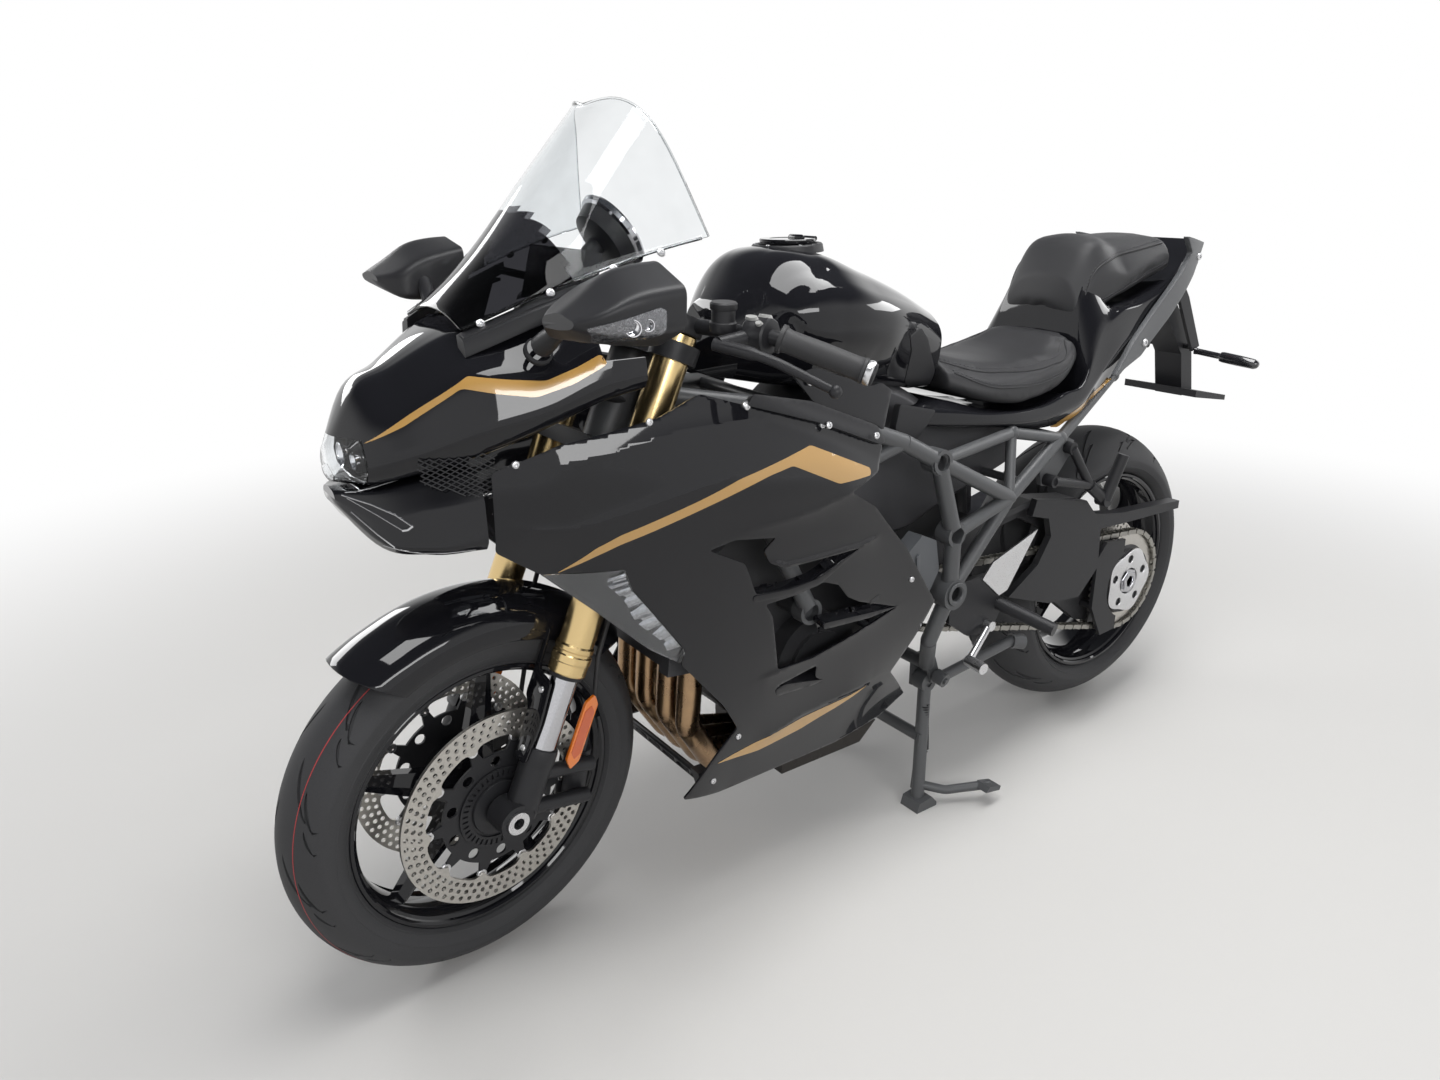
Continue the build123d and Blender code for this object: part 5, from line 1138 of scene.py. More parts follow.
GRIP_START, BAR_END = Vector((272, -430, 1000)), Vector((384, -362, 962))
grip_rubber = finish_of("grip_rubber", (0.030, 0.030, 0.032), (0.020, 0.020, 0.021), 0.5, 0.66, 1500,
                        bump=0.00015)
bars, grips, rings, boxes, levers = [], [], [], [], []
root = fork_point(1, 770)
bars.append(lathe([(756.3, 22), (756.3, 31), (758, 32), (780, 32), (782, 31), (782, 22)], fork_point(1, 0),
                  STEER_DIR, 40, closed=True))
bars.append(tube(bent([root, GRIP_START, BAR_END], 34), 11, 20))
grips.append(tube(straight(GRIP_START, BAR_END, (0, 0.04, 0.05, 0.1, 0.45, 0.8, 0.86, 0.87, 0.9)),
                  [20, 20, 17.5, 16, 16.8, 16.2, 16.8, 17.8, 17.8], 28))
rings.append(tube(straight(GRIP_START, BAR_END, (0.905, 0.93, 0.96, 0.975)), [16, 17.4, 17.4, 16], 28))
bars.append(tube(straight(GRIP_START, BAR_END, (0.97, 0.98, 1.0, 1.005)), [15, 15.4, 14.6, 12], 24))
box_path = straight(root, GRIP_START, (0.69, 0.70, 0.72, 0.80, 0.81, 0.90, 0.915, 0.92))
boxes.append(tube(box_path, [19, 23, 25.4, 26, 25.2, 25.6, 23, 18], 12))
levers.append(tube(bent([root + (GRIP_START - root) * 0.78, (226, -500, 992)], 4), 11, 16))
levers.append(tube(bent([(220, -502, 992), (292, -476, 984), (376, -430, 948)], 30),
                   [9] * 3 + [7] * 5 + [5.6], 14))
BALL = [(9.2 * math.sin(math.radians(a)), 9.2 * math.cos(math.radians(a))) for a in range(-84, 90, 21)]
levers.append(lathe(BALL, (376, -430, 948), (0, 0, 1), 16))
levers.append(lathe([(-2, 18), (2, 19), (10, 19), (12, 16.5), (28, 16.5)], (199, -467, 1004), (0, 0, 1),
                    24))
levers.append(lathe([(28, 18.4), (29, 19), (36, 19), (38, 17), (38, 0.01)], (199, -467, 1004), (0, 0, 1),
                    24))
axis, aside, third = round_frame(GRIP_START - root)
toward = Vector((0.15, -0.35, 0.92))
toward = (toward - axis * toward.dot(axis)).normalized()
buttons = []
for share, across, long, wide in ((0.76, 0.0, 11, 5), (0.84, -14.0, 12, 5), (0.865, 9.0, 6, 4)):
    up = (toward * 25 + axis.cross(toward) * across).normalized()
    middle = root + (GRIP_START - root) * share + up * 24.6
    rim = [middle + axis * long * math.cos(a) + up.cross(axis) * wide * math.sin(a)
           for a in (2 * math.pi * k / 20 for k in range(20))]
    lifted = [spot + up * 4 - (spot - middle) * 0.18 for spot in rim]
    verts = [tuple(v / 1000) for v in rim + lifted]
    buttons.append((verts, [(k, (k + 1) % 20, 20 + (k + 1) % 20, 20 + k) for k in range(20)]
                    + [tuple(range(20, 40)), tuple(range(19, -1, -1))]))
key_grey = finish_of("button_grey", (0.42, 0.42, 0.40), (0.34, 0.34, 0.33), 0.4, 0.5, 900)
piece("switch_buttons", *steered(both_sides(together(buttons))), key_grey, "steering", "satin_black", 30)
for name, parts, finish, slot, stands_for in (
        ("bars_black", bars, satin, "satin_black", ["handlebars"]),
        ("grips", grips, grip_rubber, "satin_black", ()),
        ("bar_end_rings", rings, alloy, "silver_alloy", ()),
        ("switch_boxes", boxes, satin, "satin_black", ()),
        ("levers_and_pots", levers, satin, "satin_black", ["hand_controls"])):
    piece(name, *steered(both_sides(together(parts))), finish, "steering", slot, 32, stands_for)


# The tank is pressed steel under black lacquer: a broad crown round the filler, a hard V crease
# on each flank, and swelling rear sides that narrow to the seat.

def spline(values, knots, at):
    """Smooth value between knots, by Catmull and Rom's rule for uneven spacing."""
    if at <= knots[0]:
        i = 0
    elif at >= knots[-1]:
        i = len(knots) - 2
    else:
        i = max(k for k in range(len(knots) - 1) if knots[k] <= at)
    span = knots[i + 1] - knots[i]
    t = (at - knots[i]) / span
    slopes = []
    for k in (i, i + 1):
        if 0 < k < len(knots) - 1:
            before = (values[k] - values[k - 1]) / (knots[k] - knots[k - 1])
            after = (values[k + 1] - values[k]) / (knots[k + 1] - knots[k])
            near, far = knots[k] - knots[k - 1], knots[k + 1] - knots[k]
            slopes.append((before * far + after * near) / (near + far))
        elif k == 0:
            slopes.append((values[1] - values[0]) / (knots[1] - knots[0]))
        else:
            slopes.append((values[-1] - values[-2]) / (knots[-1] - knots[-2]))
    if t < 0:
        return values[i] + slopes[0] * (at - knots[i])
    if t > 1:
        return values[i + 1] + slopes[1] * (at - knots[i + 1])
    t2, t3 = t * t, t * t * t
    return ((2 * t3 - 3 * t2 + 1) * values[i] + (t3 - 2 * t2 + t) * span * slopes[0]
            + (3 * t2 - 2 * t3) * values[i + 1] + (t3 - t2) * span * slopes[1])


def gap_to(spot, outline):
    """Distance from a point to an outline's edge, in mm."""
    y, z = spot
    best = 1e9
    for i in range(len(outline)):
        (y1, z1), (y2, z2) = outline[i - 1], outline[i]
        dy, dz = y2 - y1, z2 - z1
        t = max(0.0, min(1.0, ((y - y1) * dy + (z - z1) * dz) / (dy * dy + dz * dz)))
        best = min(best, math.hypot(y - y1 - dy * t, z - z1 - dz * t))
    return best


def full_width(half):
    """A half outline from the top centre to the bottom centre, with its mirror image."""
    return list(half) + [(-x, z) for x, z in reversed(half) if x > 0]


def full_rows(rows):
    """Rows (y, half outline) with each outline made whole."""
    return [(y, full_width(half)) for y, half in rows]


def rounded_loop(points, radius, sides=5, bend=4):
    """Closed outline with rounded corners, resampled to the same count of points each time."""
    count = len(points)
    spots = [Vector(p) for p in points]
    radii = radius if isinstance(radius, (list, tuple)) else [radius] * count

    def reach(i, j):
        return min(radii[i % count], (spots[i % count] - spots[j % count]).length * 0.46)

    made = []
    for i in range(count):
        b, after = spots[i], spots[(i + 1) % count]
        before = spots[i - 1]
        start = b + (before - b).normalized() * reach(i, i - 1)
        end = b + (after - b).normalized() * reach(i, i + 1)
        for s in range(bend + 1):
            t = s / bend
            made.append(start * (1 - t) ** 2 + b * 2 * t * (1 - t) + end * t * t)
        there = after + (b - after).normalized() * reach(i + 1, i)
        made += [end + (there - end) * s / sides for s in range(1, sides)]
    return made


def hull(rows, radius, step=8.0, sides=5, bend=4, caps=(True, True)):
    """Skin over closed sections (y, [(x, z) ...]) in mm, smooth from one to the next."""
    loops = [rounded_loop(points, radius, sides, bend) for _, points in rows]
    ys = [y for y, _ in rows]
    count = len(loops[0])
    stations = []
    for k in range(len(ys) - 1):
        parts = max(2, round((ys[k + 1] - ys[k]) / step))
        stations += [ys[k] + (ys[k + 1] - ys[k]) * s / parts for s in range(parts)]
    stations.append(ys[-1])
    columns = [([loop[i].x for loop in loops], [loop[i].y for loop in loops]) for i in range(count)]
    verts = []
    for y in stations:
        verts += [(spline(xs, ys, y) / 1000, y / 1000, spline(zs, ys, y) / 1000) for xs, zs in columns]
    faces = quads(len(stations) - 1, count)
    for end, wanted in ((0, caps[0]), (len(stations) - 1, caps[1])):
        if wanted:
            ring = [Vector(verts[end * count + i]) for i in range(count)]
            verts.append(tuple(sum(ring, Vector()) / count))
            hub = len(verts) - 1
            faces += [(end * count + i, end * count + (i + 1) % count, hub) for i in range(count)]
    return verts, faces


TANK_ROWS = [
    (-322, [(0, 1004), (45, 1000), (72, 980), (76, 930), (66, 890), (0, 884)]),
    (-270, [(0, 1066), (70, 1058), (128, 1010), (132, 940), (108, 880), (0, 872)]),
    (-170, [(0, 1080), (80, 1072), (158, 1012), (160, 950), (126, 872), (0, 860)]),
    (-70, [(0, 1048), (80, 1038), (156, 985), (146, 920), (110, 858), (0, 846)]),
    (30, [(0, 1008), (68, 1000), (122, 960), (108, 900), (92, 838), (0, 826)]),
    (112, [(0, 968), (52, 962), (92, 930), (88, 880), (72, 826), (0, 815)]),
]
CREASE = [(-150, 1056), (-272, 1001), (-242, 961), (-110, 914), (-60, 960), (-60, 1040)]
tank_rows = full_rows(TANK_ROWS)
tank_made = hull(tank_rows, [30, 30, 34, 30, 20, 20, 20, 30, 34, 30], 4.5, 9, 8)
pressed = []
for x, y, z in tank_made[0]:
    spot = (y * 1000, z * 1000)
    recessed = inside(spot, CREASE)
    away = gap_to(spot, CREASE)
    front_only = 1 - min(1, max(0, (spot[0] + 175) / 90))
    push = (1 if recessed else -1) * min(1, away / 5) * 0.5 + 0.5
    side = min(1, max(0, (abs(x) * 1000 - 70) / 40))
    pressed.append((x - math.copysign(4.5 * (1 - push) * front_only * side, x) / 1000, y, z))
piece("tank_shell", pressed, tank_made[1], paint, "root", "gloss_black", 40, ["fuel_tank"])

# Filler: a flush ring on the tank, a hinged lid with a lock plate, and a ring of small screws.
FILLER = (0, -169, 1086)
ring = lathe([(-14, 60), (-3, 58), (-1, 56), (-1, 50), (-3, 48), (-10, 47)], FILLER, (0, -0.02, 1), 64)
piece("filler_ring", *ring, satin, "root", "satin_black", 30)
lid = lathe([(0.3, 0.01), (0.3, 45), (5.5, 46), (7, 44.5), (7, 30), (6.4, 29), (6.4, 0.01)], FILLER,
            (0, 0, 1), 64)
lid_bar = tube(straight((-18, -150, 1093.5), (18, -150, 1093.5), (0, 0.1, 0.9, 1)), [3, 5, 5, 3], 14)
hinge = tube(straight((-14, -121, 1091), (14, -121, 1091), (0, 1)), 4, 16)
piece("filler_lid", *together([lid, lid_bar, hinge]), paint, "fuel_cap", "gloss_black", 30, ["fuel_cap"])
places = [((51.5 * math.cos(math.radians(a)), -169 + 51.5 * math.sin(math.radians(a)), 1083.6),
           facing((0, 0, 1)))
          for a in (15, 75, 135, 225, 285, 345)]
repeated("filler_screws", SCREW, places, alloy, "root", "silver_alloy", size=0.6)


# The seats are foam under grained vinyl with sewn side bands. Each is blown up a little from a
# smaller form, as a cover is over its foam, and its piping and stitches are laid on after.

vinyl = finish_of("seat_cover", (0.034, 0.034, 0.036), (0.019, 0.019, 0.021), 0.44, 0.60, 900, bump=0.0005,
                  Specular_IOR_Level=0.4)
seam_thread = finish_of("seat_thread", (0.085, 0.085, 0.090), (0.055, 0.055, 0.060), 0.6, 0.8, 2500)


def padded_seat(name, rows, corners, cap, stands_for, smaller=0.985):
    """Seat form, remeshed and swollen by cloth; the swell is held to a cap in mm."""
    made = hull(rows, corners, 9, 5, 4)
    centre = sum((Vector(v) for v in made[0]), Vector()) / len(made[0])
    start = [tuple(centre + (Vector(v) - centre) * smaller) for v in made[0]]
    seat = piece(name, start, made[1], vinyl, "root", "seat_cover", 60, stands_for)
    grain = seat.modifiers.new("even", "REMESH")
    grain.mode = "VOXEL"
    grain.voxel_size = 0.006
    finished(seat, 60)
    still = [v.co.copy() for v in seat.data.vertices]
    swell = seat.modifiers.new("swell", "CLOTH")
    for setting, value in (("quality", 4), ("mass", 0.3), ("tension_stiffness", 25),
                           ("compression_stiffness", 25), ("shear_stiffness", 15),
                           ("bending_stiffness", 4), ("use_pressure", True),
                           ("uniform_pressure_force", 4)):
        setattr(swell.settings, setting, value)
    swell.settings.effector_weights.gravity = 0
    swell.point_cache.frame_start = 1
    swell.point_cache.frame_end = 20
    scene = bpy.context.scene
    for step in range(1, 21):
        scene.frame_set(step)
    finished(seat, 60)
    scene.frame_set(1)
    for vertex, rest in zip(seat.data.vertices, still):
        move = vertex.co - rest
        if move.length > cap / 1000:
            vertex.co = rest + move.normalized() * cap / 1000
    smooth = seat.modifiers.new("even", "SMOOTH")
    smooth.factor = 0.5
    smooth.iterations = 3
    finer = seat.modifiers.new("finer", "SUBSURF")
    finer.levels = 1
    finer.render_levels = 1
    finished(seat, 60)
    seat.data.materials.clear()
    seat.data.materials.append(vinyl)
    return seat


RIDER_SEAT_ROWS = [
    (128, [(0, 884), (60, 878), (96, 858), (100, 836), (90, 826), (0, 826)]),
    (200, [(0, 866), (90, 858), (140, 836), (146, 812), (130, 798), (0, 798)]),
    (320, [(0, 850), (100, 850), (150, 842), (156, 812), (140, 792), (0, 792)]),
    (420, [(0, 868), (96, 868), (142, 862), (146, 836), (132, 815), (0, 815)]),
    (470, [(0, 905), (80, 900), (118, 880), (122, 856), (112, 840), (0, 840)]),
]
PASSENGER_SEAT_ROWS = [
    (486, [(0, 1000), (60, 985), (86, 950), (88, 925), (80, 918), (0, 918)]),
    (520, [(0, 1052), (72, 1040), (98, 985), (100, 940), (92, 922), (0, 922)]),
    (620, [(0, 1062), (82, 1052), (108, 1000), (110, 962), (100, 950), (0, 950)]),
    (770, [(0, 1066), (84, 1058), (106, 1030), (108, 1006), (98, 996), (0, 996)]),
]
rider_rows = full_rows(RIDER_SEAT_ROWS)
passenger_rows = full_rows(PASSENGER_SEAT_ROWS)
rider_seat = padded_seat("rider_seat_cover", rider_rows, [30, 24, 14, 9, 8, 20, 8, 9, 14, 24], 6,
                         ["rider_seat"])
passenger_seat = padded_seat("passenger_seat_cover", passenger_rows, [34, 22, 16, 10, 6, 20, 6, 10, 16, 22],
                             6, ["passenger_seat"])


def on_surface(target, spot, direction, lift):
    """Where a ray from outside meets a piece, lifted off it a little; mm."""
    start = Vector(spot) / 1000 - Vector(direction) * 0.15
    hit, place, normal, _ = target.ray_cast(start, Vector(direction), distance=0.4)
    if not hit:
        return None, None
    return (place + normal * lift / 1000) * 1000, normal


def seam_line(target, points, inward, step=6):
    """Points along a line on a padded piece, found by rays that come from the side."""
    found = []
    path = bent(points, 40, 8)
    for a, b in zip(path, path[1:]):
        parts = max(1, int((b - a).length / step))
        for k in range(parts):
            place, normal = on_surface(target, a + (b - a) * k / parts, inward, 0.4)
            if place:
                found.append((place, normal))
    return found


# (y, z) of the seams seen from the side: the rider seat's band, and the passenger seat's edges
SEAMS = [
    (rider_seat, [(138, 868), (200, 846), (320, 838), (420, 854), (462, 884)], 1.8),
    (rider_seat, [(146, 850), (200, 822), (320, 814), (420, 834), (458, 862)], 1.2),
    (passenger_seat, [(500, 944), (530, 1016), (620, 1034), (760, 1050)], 2.0),
    (passenger_seat, [(508, 934), (620, 972), (760, 1014)], 1.4),
]
piping, stitches = [], []
for target, line, thick in SEAMS:
    for side in (1, -1):
        found = seam_line(target, [(side * 160, y, z) for y, z in line], (-side, 0, 0))
        if len(found) > 3:
            piping.append(tube([place for place, _ in found], thick, 8))
        for a, b in zip(found, found[1:]):
            mid = (a[0] + b[0]) / 2 + Vector((0, 0, 5.0))
            along = (b[0] - a[0]).normalized()
            place, normal = on_surface(target, (side * 160, mid.y, mid.z), (-side, 0, 0), 0.5)
            if place:
                stitches.append((place, Vector((1, 0, 0)).rotation_difference(along)))
piece("seat_piping", *together(piping), vinyl, "root", "seat_cover", 40)
STITCH = tube(straight((-2.0, 0, 0), (2.0, 0, 0), (0, 0.2, 0.8, 1)), [0.3, 0.75, 0.75, 0.3], 6)
repeated("seat_stitches", STITCH, stitches, seam_thread, "root", "seat_cover")


# The tail cowl is gloss black plastic with hard creases that sweep up to the lamp; a gold wedge
# is painted on each flank.

TAIL_ROWS = [
    (40, [(0, 806), (100, 806), (122, 800), (124, 772), (100, 764), (0, 764)]),
    (110, [(0, 806), (100, 806), (136, 790), (138, 764), (114, 755), (0, 758)]),
    (200, [(0, 782), (120, 782), (150, 778), (152, 756), (136, 748), (0, 752)]),
    (400, [(0, 782), (130, 788), (150, 790), (157, 758), (142, 728), (0, 742)]),
    (472, [(0, 800), (118, 822), (146, 822), (152, 780), (140, 742), (0, 776)]),
    (485, [(0, 912), (100, 908), (142, 845), (150, 790), (138, 752), (0, 780)]),
    (575, [(0, 930), (106, 936), (128, 925), (140, 860), (130, 803), (0, 835)]),
    (651, [(0, 944), (108, 948), (126, 938), (132, 890), (122, 850), (0, 866)]),
    (800, [(0, 1000), (106, 1002), (118, 992), (120, 960), (108, 945), (0, 940)]),
    (880, [(0, 1052), (88, 1052), (98, 1040), (98, 1000), (86, 982), (0, 976)]),
]
tail_rows = full_rows(TAIL_ROWS)
tail = piece("tail_shell", *hull(tail_rows, 6, 10, 5, 4), paint, "root", "gloss_black", 35, ["tail_cowl"])
gold = finish_of("gold_lacquer", (0.50, 0.285, 0.078), (0.44, 0.25, 0.068), 0.14, 0.22, 1800, coat=1.0)


# The fairing's two sides are moulded panels in gloss black, with pressed creases, three vents
# with winglets, and gold bands painted under the lacquer.

FAIRING_ROWS = [
    (-780, [(168, 868), (172, 820), (170, 790), (168, 765), (166, 745), (162, 730)]),
    (-700, [(200, 900), (214, 830), (212, 790), (205, 745), (196, 715), (188, 690)]),
    (-600, [(218, 925), (238, 830), (236, 760), (228, 680), (218, 600), (212, 560)]),
    (-500, [(226, 916), (250, 810), (246, 720), (232, 600), (205, 440), (165, 236)]),
    (-400, [(230, 886), (254, 800), (248, 700), (232, 560), (200, 390), (158, 228)]),
    (-250, [(232, 816), (245, 780), (240, 680), (226, 540), (190, 370), (147, 220)]),
    (-100, [(222, 735), (228, 700), (222, 620), (212, 500), (180, 340), (136, 218)]),
    (30, [(205, 640), (208, 600), (207, 540), (202, 460), (165, 330), (130, 250)]),
]
FAIRING_Y = [y for y, _ in FAIRING_ROWS]


def fairing_x(y, z):
    """How far out the fairing's face is at a height and a place along the machine."""
    column = []
    for i in range(6):
        x = spline([row[i][0] for _, row in FAIRING_ROWS], FAIRING_Y, y)
        height = spline([row[i][1] for _, row in FAIRING_ROWS], FAIRING_Y, y)
        column.append((height, x))
    column.append((column[0][0] + 45, column[0][1] - 7))
    column.append((column[5][0] - 30, column[5][1] - 9))
    column.sort()
    return spline([x for _, x in column], [height for height, _ in column], z)


FAIRING_OUTLINE = [
    (-780, 840), (-780, 730), (-725, 691), (-622, 690), (-612, 655), (-525, 538), (-531, 515), (-447, 414),
    (-412, 357), (-448, 315), (-503, 245), (-424, 226), (-155, 214), (-36, 226), (24, 256), (-62, 346),
    (-20, 408), (14, 476), (-7, 501), (-77, 597), (-173, 695), (-235, 733), (-168, 752), (-150, 790),
    (-164, 794), (-296, 849), (-426, 891), (-499, 915), (-566, 893), (-700, 872),
]
VENTS = [
    [(-498, 695), (-456, 703), (-381, 691), (-402, 674), (-389, 651), (-358, 636), (-200, 631), (-294, 600),
     (-349, 598), (-410, 604), (-435, 661)],
    [(-390, 582), (-325, 583), (-274, 590), (-240, 576), (-215, 547), (-184, 529), (-131, 509), (-86, 491),
     (-206, 463), (-275, 449), (-348, 451), (-374, 557)],
    [(-344, 416), (-260, 429), (-257, 404), (-237, 390), (-337, 397)],
]


def divided(outline, step):
    """The outline with points added so that none of its edges is long."""
    made = []
    for i in range(len(outline)):
        a, b = Vector(outline[i - 1]), Vector(outline[i])
        count = max(1, int((b - a).length / step))
        made += [tuple(a + (b - a) * k / count) for k in range(count)]
    return made


def stepped(line, step):
    """Points along an open line (y, z), about a step apart."""
    made = []
    for a, b in zip(line, line[1:]):
        parts = max(1, int(math.dist(a, b) / step))
        made += [(a[0] + (b[0] - a[0]) * k / parts, a[1] + (b[1] - a[1]) * k / parts) for k in range(parts)]
    return made + [line[-1]]


def sheet_over(height, outline, holes=(), step=8.0, lines=()):
    """Triangulated sheet x = height(y, z) in an outline, with holes and mesh edges along lines; mm."""
    loops = [divided(softened(outline), step)] + [divided(softened(hole), step) for hole in holes]
    spots, edges = outlined(loops)
    wanted = within(loops)
    ridges = []
    for line in lines:
        run = [p for p in stepped(line, step) if wanted(p) and min(gap_to(p, loop) for loop in loops) > 2]
        ridges += run
        base = len(spots)
        spots += run
        edges += [(base + i, base + i + 1) for i in range(len(run) - 1)
                  if math.dist(run[i], run[i + 1]) < step * 2.2]
    ys = [y for y, _ in outline]
    zs = [z for _, z in outline]
    row = 0
    z = min(zs) + step / 2
    while z < max(zs):
        y = min(ys) + (step / 2 if row % 2 else 0)
        while y < max(ys):
            spot = (y, z)
            if (wanted(spot) and min(gap_to(spot, loop) for loop in loops) > step * 0.45
                    and all(math.dist(spot, ridge) > step * 0.5 for ridge in ridges)):
                spots.append(spot)
            y += step
        z += step * 0.866
        row += 1
    points, kept = filled(spots, edges, wanted)
    return [(height(y, z) / 1000, y / 1000, z / 1000) for y, z in points], kept


# Pressed ridges in the panel: (y, z) along each, how far it stands out, and its reach above and below
RIDGES = [
    ([(-735, 851), (-703, 845), (-587, 864), (-539, 871), (-452, 873), (-395, 868), (-293, 824),
      (-180, 772)],
     4.5, 26, 20),
    ([(-774, 764), (-696, 757), (-618, 773), (-530, 791), (-440, 806)], 3.5, 10, 30),
    ([(-472, 710), (-326, 717), (-285, 723), (-190, 742)], 3.0, 22, 14),
    ([(-372, 304), (-274, 332), (-112, 346)], 4.5, 30, 14),
    ([(-389, 655), (-358, 640), (-200, 634), (-150, 640)], 2.5, 3, 16),
    ([(-384, 446), (-348, 448), (-206, 463), (-80, 494)], 2.5, 3, 18),
]


def line_gap(spot, line):
    """Distance to an open line, negative below it, and how far along it the nearest point is."""
    best, sign, share = 1e9, 1, 0
    for i in range(len(line) - 1):
        (y1, z1), (y2, z2) = line[i], line[i + 1]
        dy, dz = y2 - y1, z2 - z1
        t = max(0.0, min(1.0, ((spot[0] - y1) * dy + (spot[1] - z1) * dz) / (dy * dy + dz * dz)))
        gap = math.hypot(spot[0] - y1 - dy * t, spot[1] - z1 - dz * t)
        if gap < best:
            best, share = gap, (i + t) / (len(line) - 1)
            sign = 1 if (dy * (spot[1] - z1) - dz * (spot[0] - y1)) > 0 else -1
    return best * sign, share


def panel_x(y, z):
    """The fairing's face with its ridges."""
    out = fairing_x(y, z)
    for line, high, above, below in RIDGES:
        gap, share = line_gap((y, z), line)
        fade = min(1, 5 * min(share, 1 - share) + 0.15)
        out += high * fade * math.exp(-abs(gap) / (above if gap > 0 else below))
    return out


fairing_skin = sheet_over(panel_x, FAIRING_OUTLINE, VENTS, 5.0, [line for line, _, _, _ in RIDGES])
left_fairing = slab("fairing_shell_left", *fairing_skin, 0.0035, paint, "root", "gloss_black",
                    ["fairing_left"], 0.0014)
mirrored(left_fairing, "fairing_shell_right", ["fairing_right"])


def pair(name, sheet, thick, material, slot, stands_for=(), bevel=0.0):
    """A sheet with a wall on the machine's left side, and its mirror image on the right."""
    left = slab(name.format("left"), *sheet, thick, material, "root", slot, stands_for, bevel)
    mirrored(left, name.format("right"))
    return left


# (outline in the side view): winglets in the vents, each a thin blade from the inside outwards
FINS = [
    [(-415, 603), (-345, 597), (-290, 600), (-194, 632), (-286, 588), (-340, 586), (-415, 592)],
    [(-262, 512), (-154, 500), (-80, 492), (-154, 490), (-262, 500)],
    [(-346, 410), (-328, 415), (-235, 392), (-259, 388), (-340, 396)],
]
FIN_DEPTH = 26
for number, outline in enumerate(FINS):
    fin_skin = sheet_over(lambda y, z: fairing_x(y, z) + 1.5, outline, step=6)
    pair("winglet_{}_" + str(number), fin_skin, FIN_DEPTH / 1000, paint, "gloss_black", bevel=0.0014)

# Gold bands are a thin layer of lacquer on the panels: (y, z) in the side view.

def face_of(target, lift=0.35):
    """How far out a piece's left face is, found by a ray from the side, with a little lift."""
    last = [150.0]

    def height(y, z):
        hit, place, normal, _ = target.ray_cast(Vector((0.5, y / 1000, z / 1000)), Vector((-1, 0, 0)),
                                                distance=0.6)
        if hit and place.x > 0.02:
            last[0] = place.x * 1000 + lift / max(normal.x, 0.4)
        return last[0]
    return height


def painted(name, target, outline, finish=None, step=4):
    """A painted shape on both sides of a panel."""
    mesh = bpy.data.meshes.new(name)
    verts, faces = sheet_over(face_of(target), outline, step=step)
    mesh.from_pydata(verts, [], faces)
    layer = settle(name, mesh, finish or gold, "root", "gloss_black", 60)
    if mesh.polygons[0].normal.x < 0:
        mesh.flip_normals()
    mirrored(layer, name + "_right")
    return layer


painted("side_band", left_fairing, [
    (-707, 691), (-662, 727), (-630, 742), (-514, 775), (-452, 794), (-358, 812), (-317, 820), (-189, 762),
    (-189, 751), (-262, 752), (-356, 797), (-400, 790), (-500, 764), (-630, 728), (-662, 715)])
painted("belly_band", left_fairing, [
    (-446, 297), (-361, 311), (-270, 322), (-164, 330), (-120, 338), (-150, 324), (-186, 312), (-264, 294),
    (-357, 287)])

# Screws of the side panels, and the oval slot under the middle vent.
def side_screws(name, spots, lean=0.0, size=1.0):
    """Screws at spots (x, y, z) on the machine's left side and at their mirror images."""
    places = [((side * x, y, z), facing((side, 0, lean))) for x, y, z in spots for side in (1, -1)]
    repeated(name, SCREW, places, alloy, "root", "silver_alloy", size=size)


panel_screws = [(-408, 339), (-58, 536), (-447, 262), (-424, 889), (-581, 889), (-752, 850), (-285, 843)]
side_screws("panel_screws", [(face_of(left_fairing, 0.0)(y, z), y, z) for y, z in panel_screws])
painted("screw_slot", left_fairing, [(-162, 518), (-156, 524), (-138, 530), (-132, 528), (-138, 521),
                                     (-156, 515)], hose)


# The nose cowl is one gloss black shell that tapers to the headlamp. It is open above for the
# dash and behind for the fork, and its side creases run back from the lamp to the fairing.

def cutter(outline, x_from, x_to):
    """Prism whose side view is the outline; points in mm. It is removed once it has cut."""
    verts = [(x / 1000, y / 1000, z / 1000) for x in (x_from, x_to) for y, z in outline]
    count = len(outline)
    faces = [tuple(range(count)), tuple(range(2 * count - 1, count - 1, -1))]
    faces += [(i, (i + 1) % count, count + (i + 1) % count, count + i) for i in range(count)]
    return placed("cutter", meshed("cutter", verts, faces, merge=False))


def carve(made, cutters, operation="DIFFERENCE", angle=35):
    """Cuts the piece with each cutter and drops the cutters."""
    for tool in cutters:
        cut = made.modifiers.new("cut", "BOOLEAN")
        cut.operation = operation
        cut.solver = "EXACT"
        cut.object = tool
    finished(made, angle)
    for tool in cutters:
        bpy.data.objects.remove(tool)
    return made


NOSE_ROWS = [
    (-936, [(0, 868), (12, 864), (26, 850), (30, 835), (24, 822), (0, 818)]),
    (-905, [(0, 930), (24, 926), (66, 882), (80, 850), (70, 822), (0, 815)]),
    (-850, [(0, 965), (38, 960), (106, 915), (128, 868), (112, 835), (0, 825)]),
    (-790, [(0, 1000), (60, 996), (144, 958), (166, 892), (150, 855), (0, 840)]),
    (-700, [(0, 1030), (118, 1028), (182, 956), (194, 914), (184, 888), (0, 862)]),
    (-625, [(0, 1052), (142, 1050), (196, 976), (204, 938), (196, 915), (0, 890)]),
    (-560, [(0, 1066), (150, 1064), (198, 985), (206, 945), (198, 926), (0, 905)]),
]
NOSE_CORNERS = [40, 9, 16, 8, 14, 20, 14, 8, 16, 9]
nose_rows = full_rows(NOSE_ROWS)
